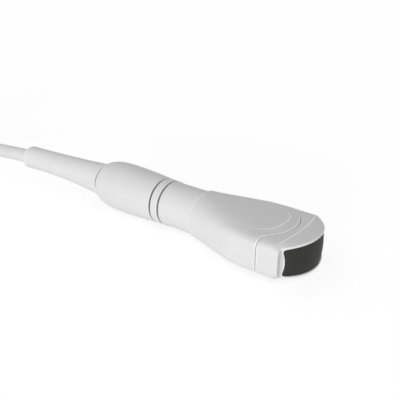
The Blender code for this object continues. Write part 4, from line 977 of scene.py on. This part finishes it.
def make_tie(paint):
    """The strap round the hank: pulled tight on top, flat on the floor below, its rounded end laid over."""
    bm = new_bmesh()
    low, high = STRAP_THICKNESS / 2, HANK_TOP + STRAP_THICKNESS / 2
    half_width = HANK_OUTER_RADIUS + STRAP_THICKNESS / 2
    radius = STRAP_CORNER + STRAP_THICKNESS / 2
    path = []
    for side_y, z, start in (
        (-1, low + radius, math.pi),
        (1, low + radius, 1.5 * math.pi),
        (1, high - radius, 0.0),
        (-1, high - radius, math.pi / 2),
    ):
        for k in range(13):
            angle = start + math.pi / 2 * k / 12
            out = Vector((math.cos(angle), math.sin(angle)))
            path.append((Vector((side_y * (half_width - radius), z)) + out * radius, out))
    turns = [2 * math.pi * (k + 0.5) / 24 for k in range(24)]
    sections = []
    for (y, z), out in path:
        section = []
        for turn in turns:
            across, thick = squircle(STRAP_WIDTH / 2, STRAP_THICKNESS / 2, 5.0, turn)
            section.append(
                Vector((STRAP_X + across, HANK_FRONT_FOLD.y + y + out.x * thick, z + out.y * thick))
            )
        sections.append(section)
    skin(bm, sections)
    steps = 24
    ends = []
    for k in range(steps + 1):
        share = k / steps
        y = STRAP_START_Y + (STRAP_END_Y - STRAP_START_Y) * math.sin(math.pi / 2 * share)
        left = (y - STRAP_END_Y) / (STRAP_WIDTH / 2)
        width = STRAP_WIDTH / 2 * math.sqrt(max(0.0, 1.0 - max(0.0, 1.0 - left) ** 2)) + 0.05 * MM
        rise = STRAP_END_THICKNESS * (smoothstep(6 * share) - 0.6)
        section = []
        for turn in turns:
            across, thick = squircle(width, STRAP_END_THICKNESS / 2, 5.0, turn)
            section.append(Vector((STRAP_X + across, y, HANK_TOP + STRAP_THICKNESS + rise + thick)))
        ends.append(section)
    first, last = skin(bm, ends, closed=False)
    bmesh.ops.holes_fill(bm, edges=first + last, sides=0)
    return finish_object("hank_strap", bm, paint, ["cable_tie"])


def plug_ring(x, half_width, half_height, power=9.0):
    """A section of the plug, round for power 2 and squarer above."""
    turns = section_turns(PLUG_AROUND)
    return [Vector((x, *squircle(half_width, half_height, power, turn))) for turn in turns]


def plug_sections():
    """The plug's housing: rounded outside with finger grooves, an entry, a cavity and a front opening."""
    hole = PLUG_RELIEF_NECK + 0.05 * MM
    rear = PLUG_RELIEF_LENGTH
    half_width, half_height = PLUG_BODY_WIDTH / 2, PLUG_BODY_HEIGHT / 2
    corner = quarter(PLUG_ROUNDING, 6)
    rings = [plug_ring(rear, hole, hole, 2.0)]
    rings += [plug_ring(rear + x, half_width - inset, half_height - inset) for x, inset in corner]
    middle = rear + PLUG_BODY_LENGTH / 2
    for rib in range(PLUG_RIBS):
        centre = middle + (rib - (PLUG_RIBS - 1) / 2) * PLUG_RIB_PITCH
        for along, depth in ((-0.8, 0.0), (-0.62, 0.35), (-0.4, 1.0), (0.4, 1.0), (0.62, 0.35), (0.8, 0.0)):
            inset = depth * PLUG_RIB_DEPTH
            rings.append(plug_ring(centre + along * MM, half_width - inset, half_height - inset))
    for x, inset in reversed(corner):
        rings.append(plug_ring(PLUG_FRONT - x, half_width - inset, half_height - inset))
    for x, grow in ((0.0, 0.4), (-0.3, 0.1), (-SHROUD_DEPTH / MM, 0.1)):
        grow *= MM
        rings.append(plug_ring(PLUG_FRONT + x * MM, SHROUD_HALF_WIDTH + grow, SHROUD_HALF_HEIGHT + grow))
    for x in (PLUG_FRONT - SHROUD_DEPTH - 0.1 * MM, rear + PLUG_WALL):
        rings.append(plug_ring(x, PLUG_CAVITY_HALF_WIDTH, PLUG_CAVITY_HALF_HEIGHT))
    rings.append(plug_ring(rear + PLUG_WALL, hole, hole, 2.0))
    return rings


def make_plug_housing(paint):
    """The two halves of the plug's housing, parted at mid height."""
    for name, node, side in (("plug_cover", "plug_shell_upper", 1), ("plug_base", "plug_shell_lower", -1)):
        bm = new_bmesh()
        skin(bm, plug_sections())
        bmesh.ops.recalc_face_normals(bm, faces=bm.faces)
        found = bmesh.ops.bisect_plane(
            bm,
            geom=bm.verts[:] + bm.edges[:] + bm.faces[:],
            plane_co=(0.0, 0.0, side * GAP / 2),
            plane_no=(0.0, 0.0, side),
            clear_inner=True,
        )["geom_cut"]
        cut = [item for item in found if isinstance(item, bmesh.types.BMEdge)]
        bmesh.ops.holes_fill(bm, edges=cut, sides=0)
        finish_object(name, bm, paint, [node], PLUG)


def make_plug_relief(paint):
    """The plug's strain relief, grooved so that it bends, with a flange inside the housing."""
    bore = CABLE_RADIUS + 0.02 * MM
    inside = PLUG_RELIEF_LENGTH + PLUG_WALL + 0.1 * MM
    profile = [(0.0, bore, 0.2 * MM), (0.0, PLUG_RELIEF_TIP_RADIUS, 0.6 * MM)]
    for groove in range(5):
        centre = (2.9 + 2.8 * groove) * MM
        radius = PLUG_RELIEF_TIP_RADIUS
        radius += (PLUG_RELIEF_RADIUS - PLUG_RELIEF_TIP_RADIUS) * (centre / PLUG_RELIEF_LENGTH) ** 1.4
        for along, depth in ((-0.7, 0.0), (-0.55, 0.55), (0.55, 0.55), (0.7, 0.0)):
            profile.append((centre + along * MM, radius - depth * MM, 0.15 * MM))
    profile += [
        (PLUG_RELIEF_LENGTH - 0.1 * MM, PLUG_RELIEF_RADIUS),
        (PLUG_RELIEF_LENGTH - 0.1 * MM, PLUG_RELIEF_NECK, 0.0),
        (inside, PLUG_RELIEF_NECK, 0.0),
        (inside, PLUG_RELIEF_NECK + 1.2 * MM),
        (inside + 1.5 * MM, PLUG_RELIEF_NECK + 1.2 * MM),
        (inside + 1.5 * MM, bore),
    ]
    turned(
        "plug_relief", rounded(profile, 0.3 * MM), paint, ["plug_strain_relief"], PLUG, 64
    )


def front_tube(half_width, half_height, stations):
    """A squared tube for the plug's front, through (x, inset in millimetres) stations."""
    rings = []
    for x, inset in stations:
        rings.append(plug_ring(x, half_width - inset * MM, half_height - inset * MM, 8.0))
    return rings


def make_plug_front(nickel, nylon, gold):
    """The metal shroud, the contact block set back in it, and its two rows of contacts."""
    mouth = PLUG_FRONT + SHROUD_LENGTH
    root = mouth - SHROUD_LENGTH - SHROUD_DEPTH
    wall = SHROUD_WALL / MM
    stations = [
        (root, 0.0), (mouth - 6.4 * MM, 0.0), (mouth - 6.2 * MM, 0.15), (mouth - 5.4 * MM, 0.15),
        (mouth - 5.2 * MM, 0.0), (mouth - 0.3 * MM, 0.0), (mouth - 0.1 * MM, 0.1), (mouth, 0.3),
        (mouth, wall - 0.3), (mouth - 0.1 * MM, wall - 0.1), (mouth - 0.3 * MM, wall), (root, wall),
    ]
    bm = new_bmesh()
    skin(bm, front_tube(SHROUD_HALF_WIDTH, SHROUD_HALF_HEIGHT, stations))
    finish_object("plug_metal_shroud", bm, nickel, ["plug_shroud"], PLUG)
    face = mouth - CONTACT_RECESS
    play = SHROUD_WALL + 0.05 * MM
    stations = [
        (root, 0.0), (face - 0.3 * MM, 0.0), (face - 0.1 * MM, 0.1), (face, 0.3), (face, 1.5),
        (face - 0.15 * MM, 1.6), (face - 1.0 * MM, 1.6),
    ]
    bm = new_bmesh()
    rings = front_tube(SHROUD_HALF_WIDTH - play, SHROUD_HALF_HEIGHT - play, stations)
    first, last = skin(bm, rings, closed=False)
    bmesh.ops.holes_fill(bm, edges=first + last, sides=0)
    finish_object("plug_contact_block", bm, nylon, ["contact_block"], PLUG)
    bm = bmesh.new()
    for row in (-1, 1):
        for number in range(CONTACTS):
            made = bmesh.ops.create_cube(bm, size=1.0)["verts"]
            y = (number - (CONTACTS - 1) / 2) * CONTACT_PITCH
            bmesh.ops.scale(bm, vec=(2.2 * MM, 0.6 * MM, 0.35 * MM), verts=made)
            bmesh.ops.translate(bm, vec=(face - 0.7 * MM, y, row * 1.5 * MM), verts=made)
    edge = 0.1 * MM
    bmesh.ops.bevel(bm, geom=bm.edges[:], offset=edge, segments=2, profile=0.5, affect="EDGES", material=-1)
    finish_object("plug_contacts", bm, gold, place=PLUG)


def make_plug_screws(paint):
    """Four flush countersunk screws in the plug's base, each with a lobed recess."""
    low = -PLUG_BODY_HEIGHT / 2 - 0.02 * MM
    length = PLUG_BODY_HEIGHT - PLUG_WALL - GAP
    recess = 0.8 * MM
    profile = [
        (recess, 0.0), (recess, 0.55 * MM, 0.0), (0.0, 0.72 * MM, 0.0), (0.0, PLUG_SCREW_HEAD_RADIUS),
        (0.2 * MM, PLUG_SCREW_HEAD_RADIUS), (1.0 * MM, PLUG_SCREW_RADIUS), (length, PLUG_SCREW_RADIUS),
        (length, 0.0),
    ]
    profile = rounded(profile, 0.1 * MM, 3, closed=False)

    def lobed(co):
        if co.x > recess or math.hypot(co.y, co.z) > 0.8 * MM:
            return co
        grow = 1.0 + 0.14 * math.cos(6 * math.atan2(co.z, co.y))
        return Vector((co.x, co.y * grow, co.z * grow))

    middle = PLUG_RELIEF_LENGTH + PLUG_BODY_LENGTH / 2
    for number, (along, across) in enumerate(((-1, -1), (-1, 1), (1, -1), (1, 1)), start=1):
        spot = Vector((middle + along * PLUG_SCREW_SPACING / 2, across * PLUG_SCREW_Y, low))
        turned(
            f"plug_fixing_{number}", profile, paint, [f"plug_screw_{number}"],
            PLUG @ Matrix.Translation(spot) @ Matrix.Rotation(-math.pi / 2, 4, "Y"), 48, lobed, closed=False,
        )


def patches(place, size, detail=2.0):
    """Inputs of a noise whose patches are about the given size across."""
    return {"Vector": place, "Scale": 1.0 / size, "Detail": detail}


def from_to(value, start, end, low=0.0, high=1.0):
    """Inputs that map a value's range on to another."""
    return {"Value": value, "From Min": start, "From Max": end, "To Min": low, "To Max": high}


def running(place, along, across, heading=0.0):
    """Inputs that turn the coordinates to a heading and scale them, so that a pattern runs along a piece."""
    return {"Vector": place, "Rotation": (0.0, 0.0, -heading), "Scale": (along, across, across)}


def shades(low, high):
    """A ramp's stops over the range that most of a noise's values lie in."""
    return list(zip(MOST_OF_NOISE, (low, high)))


def laid_over(base, tone, share):
    """Inputs that lay a hex colour over a base by a share."""
    return {0: share, 6: base, 7: linear(tone)}


def striped(tree, place, side, pitch):
    """Soft stripes across a side, X or Y, one in each pitch."""
    distance = add(tree, "SeparateXYZ", {"Vector": place}, side)
    turns = add(tree, "Math", {0: distance, 1: 2 * math.pi / pitch}, operation="MULTIPLY")
    wave = add(tree, "Math", {0: turns}, operation="SINE")
    return add(tree, "MapRange", from_to(wave, -1.0, 1.0), **SOFTLY)


def with_painted_highlights(tree, base):
    """The base colour with pale painted highlight lines on it along edges, seams and creases, from the
    piece's own attributes.
    """
    distance = add(tree, "Attribute", {}, "Fac", attribute_name="highlight_distance")
    strength = add(tree, "Attribute", {}, "Fac", attribute_name="highlight_strength")
    away = add(tree, "Math", {0: distance}, operation="ABSOLUTE")
    near = add(tree, "MapRange", from_to(away, HIGHLIGHT_LINE_WIDTH / 3, HIGHLIGHT_LINE_WIDTH, 1.0, 0.0), **SOFTLY)
    # Painted highlight: a pale line laid over the colour near each edge or seam
    highlight_mask = add(tree, "Math", {0: near, 1: strength}, operation="MULTIPLY")
    return add(tree, "Mix", laid_over(base, PAINTED_HIGHLIGHT_COLOUR, highlight_mask), 2, data_type="RGBA")


def surface(made, tone, roughness, height):
    """Link a material's colour, its roughness as (share, least, most) and its relief as (height, depth)."""
    tree = made.node_tree
    share, least, most = roughness
    rough = add(tree, "MapRange", from_to(share, *MOST_OF_NOISE, least, most), **SOFTLY)
    bump = add(tree, "Bump", {"Height": height[0], "Strength": 1.0, "Distance": height[1]})
    for output, name in ((tone, "Base Color"), (rough, "Roughness"), (bump, "Normal")):
        tree.links.new(output, tree.nodes["Principled BSDF"].inputs[name])
    return made


def moulded_abs(name, low, high):
    """Injection-moulded ABS: spark-eroded grain, faint flow mottling, and pale painted highlight lines along
    its seams and creases.
    """
    made, tree, place = new_material(name, IOR=1.53, Specular_IOR_Level=0.28)
    mottle = add(tree, "TexNoise", patches(place, 14.0 * MM, 3.0))
    tone = with_painted_highlights(tree, add(tree, "ValToRGB", {"Fac": mottle}, stops=shades(low, high)))
    grain = add(tree, "TexNoise", patches(place, 0.35 * MM, 1.0))
    return surface(made, tone, (mottle, 0.46, 0.54), (grain, 0.004 * MM))


def moulded_tpe(name, low, high):
    """Thermoplastic elastomer moulded over the cable: soft to the touch, matt, slightly translucent, with
    pale painted highlight lines where a piece carries them.
    """
    made, tree, place = new_material(
        name, IOR=1.48, Specular_IOR_Level=0.2, Sheen_Weight=0.35, Sheen_Roughness=0.45,
        Subsurface_Weight=0.2, Subsurface_Scale=0.003, Subsurface_Radius=(1.0, 1.0, 1.0),
    )
    mottle = add(tree, "TexNoise", patches(place, 9.0 * MM, 3.0))
    tone = with_painted_highlights(tree, add(tree, "ValToRGB", {"Fac": mottle}, stops=shades(low, high)))
    handled = add(tree, "TexNoise", patches(place, 2.0 * MM))
    grain = add(tree, "TexNoise", patches(place, 0.25 * MM))
    return surface(made, tone, (handled, 0.62, 0.74), (grain, 0.008 * MM))


def extruded_pvc(name, low, high):
    """PVC jacket drawn over the cable: satin, slightly uneven from the die, with faint rub marks."""
    made, tree, place = new_material(name, IOR=1.52, Specular_IOR_Level=0.3, Sheen_Weight=0.15)
    mottle = add(tree, "TexNoise", patches(place, 6.0 * MM, 3.0))
    base = add(tree, "ValToRGB", {"Fac": mottle}, stops=shades(low, high))
    worn = add(tree, "TexNoise", patches(place, 22.0 * MM, 5.0))
    rubbed = add(tree, "MapRange", from_to(worn, 0.58, 0.7), **SOFTLY)
    faint = add(tree, "Math", {0: rubbed, 1: 0.35}, operation="MULTIPLY")
    tone = add(tree, "Mix", laid_over(base, "#C4C4C1", faint), 2, data_type="RGBA")
    satin = add(tree, "TexNoise", patches(place, 3.0 * MM))
    waves = add(tree, "TexNoise", patches(place, 1.6 * MM, 1.0))
    grain = add(tree, "TexNoise", patches(place, 0.2 * MM, 1.0))
    uneven = add(tree, "Math", {0: waves, 1: grain}, operation="ADD")
    return surface(made, tone, (satin, 0.44, 0.56), (uneven, 0.012 * MM))


def cast_rubber(name, low, high, grain_size, least, most):
    """Cast or pressed rubber: dark, faintly clouded, with the fine skin of its mould."""
    made, tree, place = new_material(name, IOR=1.43, Specular_IOR_Level=0.25)
    cloud = add(tree, "TexNoise", patches(place, 5.0 * MM, 4.0))
    tone = add(tree, "ValToRGB", {"Fac": cloud}, stops=shades(low, high))
    grain = add(tree, "TexNoise", patches(place, grain_size))
    return surface(made, tone, (cloud, least, most), (grain, 0.004 * MM))


def loop_fabric(name):
    """Hook-and-loop tape: brushed nylon loops over a woven back."""
    made, tree, place = new_material(name, Sheen_Weight=0.6, Sheen_Roughness=0.4)
    loops = add(tree, "TexNoise", patches(place, 0.45 * MM, 4.0))
    weave = add(tree, "Math", {0: striped(tree, place, "X", 0.7 * MM), 1: 0.35}, operation="MULTIPLY")
    pile = add(tree, "Math", {0: loops, 1: weave}, operation="ADD")
    stops = [(0.3, "#1B1B1D"), (0.55, "#2C2C2F"), (0.8, "#4A4A4E")]
    tone = add(tree, "ValToRGB", {"Fac": loops}, stops=stops)
    return surface(made, tone, (loops, 0.75, 0.95), (pile, 0.12 * MM))


def worked_metal(name, low, high, least, most, along=60.0, across=2500.0, heading=0.0):
    """Milled, drawn or turned metal, with fine tool marks along it and a little tarnish."""
    made, tree, place = new_material(name, Metallic=1.0)
    drawn = add(tree, "Mapping", running(place, along, across, heading))
    marks = add(tree, "TexNoise", patches(drawn, 1.0, 3.0))
    tarnish = add(tree, "TexNoise", patches(place, 4.0 * MM, 4.0))
    tone = add(tree, "ValToRGB", {"Fac": tarnish}, stops=shades(low, high))
    return surface(made, tone, (marks, least, most), (marks, 0.006 * MM))


def copper_foil(name):
    """Rolled copper foil, crinkled where it was wrapped, with brown tarnish in the folds."""
    made, tree, place = new_material(name, Metallic=1.0)
    crinkle = add(tree, "TexNoise", patches(place, 1.4 * MM, 5.0))
    stops = [(0.3, "#A8613E"), (0.55, "#D98B60"), (0.75, "#EBAA82")]
    tone = add(tree, "ValToRGB", {"Fac": crinkle}, stops=stops)
    return surface(made, tone, (crinkle, 0.28, 0.5), (crinkle, 0.05 * MM))


def lacquered_board(name, heading=0.0):
    """Glass-epoxy board under green lacquer: copper tracks show through as paler lines."""
    made, tree, place = new_material(name, Coat_Weight=0.4, Coat_Roughness=0.2)
    values = {
        "Vector": add(tree, "Mapping", running(place, 1.0, 1.0, heading)),
        "Color1": linear("#1E6B3A"), "Color2": linear("#237343"), "Mortar": linear("#3C9A5C"),
        "Scale": 1.0, "Mortar Size": 0.12 * MM, "Mortar Smooth": 0.4,
        "Brick Width": 3.2 * MM, "Row Height": 0.6 * MM,
    }
    tracks = add(tree, "TexBrick", values).node.outputs
    weave = add(tree, "TexNoise", patches(place, 0.5 * MM))
    dusty = add(tree, "ValToRGB", {"Fac": weave}, stops=shades("#1B6235", "#267A47"))
    tone = add(tree, "Mix", {0: 0.35, 6: tracks["Color"], 7: dusty}, 2, data_type="RGBA")
    return surface(made, tone, (weave, 0.3, 0.42), (tracks["Fac"], 0.03 * MM))


def flex_film(name):
    """Amber polyimide film over parallel copper tracks."""
    made, tree, place = new_material(name, Coat_Weight=0.5, Coat_Roughness=0.15)
    tracks = striped(tree, place, "Y", 0.4 * MM)
    faint = add(tree, "Math", {0: tracks, 1: 0.6}, operation="MULTIPLY")
    cloud = add(tree, "TexNoise", patches(place, 3.0 * MM))
    film = add(tree, "ValToRGB", {"Fac": cloud}, stops=shades("#A4601A", "#B8741F"))
    tone = add(tree, "Mix", laid_over(film, "#D59A55", faint), 2, data_type="RGBA")
    return surface(made, tone, (tracks, 0.3, 0.42), (tracks, 0.02 * MM))


def filled_resin(name, low, high, fleck):
    """Cast epoxy full of powder: fine flecks of filler in an even base."""
    made, tree, place = new_material(name, IOR=1.55)
    powder = add(tree, "TexNoise", patches(place, 0.15 * MM, 3.0))
    flecks = add(tree, "MapRange", from_to(powder, 0.56, 0.66), **SOFTLY)
    cloud = add(tree, "TexNoise", patches(place, 4.0 * MM, 3.0))
    base = add(tree, "ValToRGB", {"Fac": cloud}, stops=shades(low, high))
    tone = add(tree, "Mix", laid_over(base, fleck, flecks), 2, data_type="RGBA")
    return surface(made, tone, (flecks, 0.5, 0.65), (flecks, 0.01 * MM))


def sintered_ceramic(name):
    """Sintered and diced ceramic: fine even grain, with saw marks along the cuts."""
    made, tree, place = new_material(name, IOR=2.0, Specular_IOR_Level=0.3)
    grain = add(tree, "TexNoise", patches(place, 0.08 * MM, 3.0))
    tone = add(tree, "ValToRGB", {"Fac": grain}, stops=shades("#9C8F78", "#B3A68C"))
    sawn = add(tree, "Mapping", running(place, 2500.0, 200.0))
    marks = add(tree, "TexNoise", patches(sawn, 1.0))
    return surface(made, tone, (grain, 0.45, 0.6), (marks, 0.006 * MM))


def glass_nylon(name):
    """Black glass-filled nylon: short pale fibres float in its skin."""
    made, tree, place = new_material(name, IOR=1.53)
    flow = add(tree, "Mapping", running(place, 900.0, 5200.0))
    glass = add(tree, "TexNoise", patches(flow, 1.0))
    fibres = add(tree, "MapRange", from_to(glass, 0.62, 0.74), **SOFTLY)
    faint = add(tree, "Math", {0: fibres, 1: 0.5}, operation="MULTIPLY")
    cloud = add(tree, "TexNoise", patches(place, 3.0 * MM))
    base = add(tree, "ValToRGB", {"Fac": cloud}, stops=shades("#1D1D1E", "#262627"))
    tone = add(tree, "Mix", laid_over(base, "#57575A", faint), 2, data_type="RGBA")
    return surface(made, tone, (fibres, 0.42, 0.55), (fibres, 0.01 * MM))


def bundled_cores(name, heading=0.0):
    """Hundreds of hair-thin coaxial cores side by side, each with its own pale insulation."""
    made, tree, place = new_material(name, Specular_IOR_Level=0.4)
    bundled = add(tree, "Mapping", running(place, 40.0, 2600.0, heading))
    cores = add(tree, "TexVoronoi", {"Vector": bundled, "Scale": 1.0}).node.outputs
    tints = add(tree, "SeparateXYZ", {"Vector": cores["Color"]}, "X")
    stops = [(0.1, "#D8D6CF"), (0.4, "#E9E6DC"), (0.7, "#C9C2B0"), (0.9, "#DDE2E4")]
    tone = add(tree, "ValToRGB", {"Fac": tints}, stops=stops)
    height = add(tree, "Math", {0: 1.0, 1: cores["Distance"]}, operation="SUBTRACT")
    return surface(made, tone, (cores["Distance"], 0.35, 0.5), (height, 0.12 * MM))


ABS_SHELL = moulded_abs("moulded_abs_shell", "#DBDBDB", "#DFDFDF")
ABS_PLUG = moulded_abs("moulded_abs_plug", "#CDCDCD", "#D3D3D3")
TPE_BOOT = moulded_tpe("moulded_tpe_boot", "#DEDEDE", "#E2E2E2")
PVC_JACKET = extruded_pvc("extruded_pvc_jacket", "#DADADA", "#E0E0E0")
SILICONE = cast_rubber("cast_silicone_lens", "#323231", "#353534", 0.3 * MM, 0.55, 0.65)
# The gasket's mid grey, darker than the pieces round it, is painted shade for the seam between relief and
# shell
SEAM_SHADE_GASKET = cast_rubber("silicone_gasket_painted_seam_shade", "#787876", "#80807E", 0.2 * MM, 0.6, 0.75)
SEAL_RUBBER = cast_rubber("pressed_nitrile_seal", "#434341", "#4B4B49", 0.2 * MM, 0.6, 0.75)
LOOP_TAPE = loop_fabric("hook_and_loop_tape")
MILLED_ALUMINIUM = worked_metal("milled_aluminium", "#B4B6B8", "#C6C8CA", 0.28, 0.42)
TURNED_STEEL = worked_metal("turned_stainless_steel", "#A6A6A6", "#BDBDBD", 0.22, 0.36, 400.0)
PLATED_NICKEL = worked_metal(
    "plated_nickel", "#B5B0A8", "#C9C4BC", 0.2, 0.34, 60.0, 1800.0, PLUG_HEADING
)
GOLD_FLASH = worked_metal("gold_flashed_contact", "#D9A441", "#E8BC62", 0.2, 0.32, 200.0)
COPPER_FOIL = copper_foil("wrapped_copper_foil")
BOARD = lacquered_board("lacquered_board")
PLUG_BOARD = lacquered_board("lacquered_plug_board", PLUG_HEADING)
FLEX = flex_film("polyimide_flex_film")
MATCHING_RESIN = filled_resin("alumina_filled_epoxy", "#BCA678", "#C6B082", "#E0D3B4")
BACKING_RESIN = filled_resin("tungsten_filled_epoxy", "#2E2E30", "#39393B", "#77777C")
CERAMIC = sintered_ceramic("diced_piezo_ceramic")
NYLON = glass_nylon("glass_filled_nylon")
CORES = bundled_cores("bundled_coaxial_cores")
PLUG_CORES = bundled_cores("bundled_plug_cores", PLUG_HEADING)

# The CAD's own pieces that stay: their shape is right, and they get their real material
KEPT = [
    (MATCHING_RESIN, "matching_layer_outer", "matching_layer_inner"),
    (CERAMIC, "piezo_array"),
    (BACKING_RESIN, "backing_block"),
    (MILLED_ALUMINIUM, "array_carrier", "chassis_plate", "cable_clamp_upper", "cable_clamp_lower"),
    (BOARD, "board_upper", "board_lower"),
    (NYLON, "flex_socket_upper", "flex_socket_lower", "wire_header_upper", "wire_header_lower"),
    (FLEX, "flex_circuit_upper", "flex_circuit_lower"),
    (TURNED_STEEL, "board_screw_1", "board_screw_2", "clamp_screw_left", "clamp_screw_right"),
    (COPPER_FOIL, "emi_shield", "braid_ferrule"),
    (CORES, "core_bundle"),
    (PVC_JACKET, "cable_inner_end"),
    (PLUG_BOARD, "plug_board"),
    (PLUG_CORES, "plug_core_bundle"),
]

cable, cable_line = make_cable(PVC_JACKET)
PLUG = Matrix.Translation(cable_line[-2]) @ Matrix.Rotation(PLUG_HEADING, 4, "Z")
make_head(ABS_SHELL)
make_nose(ABS_SHELL)
make_lens(SILICONE)
make_neck(ABS_SHELL, SEAL_RUBBER)
make_grip(ABS_SHELL)
make_boot(TPE_BOOT, SEAM_SHADE_GASKET)
tie = make_tie(LOOP_TAPE)
make_plug_housing(ABS_PLUG)
make_plug_relief(TPE_BOOT)
make_plug_front(PLATED_NICKEL, NYLON, GOLD_FLASH)
make_plug_screws(TURNED_STEEL)
for paint, *names in KEPT:
    for name in names:
        nodes[name].material_slots[0].material = paint

on_cable = [tie, nodes["plug_board"], nodes["plug_core_bundle"]]
on_cable += [piece for piece in bpy.data.objects if piece.name.startswith("plug_") and piece not in on_cable]


def seen_by_camera(tree):
    """One for the camera's own rays and those it sends through a reflection or through glass."""
    rays = add(tree, "LightPath", {}).node.outputs
    seen = add(tree, "Math", {0: rays["Is Camera Ray"], 1: rays["Is Glossy Ray"]}, operation="MAXIMUM")
    return add(tree, "Math", {0: seen, 1: rays["Is Transmission Ray"]}, operation="MAXIMUM")


def make_studio():
    """A white floor that keeps a soft shadow, a pale sky and one large soft lamp from the near side."""
    made, tree, place = new_material("studio_paper", Roughness=0.9, Base_Color=linear("#F2F2F2"))
    bm = bmesh.new()
    bmesh.ops.create_grid(bm, x_segments=1, y_segments=1, size=6.0)
    mesh = bpy.data.meshes.new("studio_floor")
    bm.to_mesh(mesh)
    bm.free()
    mesh.materials.append(made)
    floor = new_object("studio_floor", mesh)
    share = add(tree, "Math", {0: seen_by_camera(tree), 1: FLOOR_SHARE}, operation="MULTIPLY")
    paper = tree.nodes["Principled BSDF"].outputs[0]
    glow = add(tree, "Emission", {"Color": linear("#FFFFFF"), "Strength": FLOOR_GLOW})
    mixed = add(tree, "MixShader", {0: share, 1: paper, 2: glow})
    tree.links.new(mixed, tree.nodes["Material Output"].inputs["Surface"])
    world = bpy.data.worlds.new("studio_sky")
    world.use_nodes = True
    sky = world.node_tree
    values = {"Value": seen_by_camera(sky), "To Min": SKY_LIGHT, "To Max": 1.0}
    strength = add(sky, "MapRange", values)
    background = sky.nodes["Background"]
    background.inputs["Color"].default_value = linear("#FFFFFF")
    sky.links.new(strength, background.inputs["Strength"])
    bpy.context.scene.world = world
    lamp = bpy.data.lights.new("softbox", "AREA")
    lamp.shape = "RECTANGLE"
    lamp.size = 1.0
    lamp.size_y = 0.2
    lamp.energy = LAMP_POWER
    holder = new_object("softbox", lamp)
    facing = (Vector(LAMP_PLACE) - Vector(LAMP_AIM)).to_track_quat("Z", "Y").to_matrix()
    holder.matrix_world = Matrix.Translation(LAMP_PLACE) @ facing.to_4x4()


make_studio()

scene = bpy.context.scene
scene.view_settings.view_transform = "Standard"
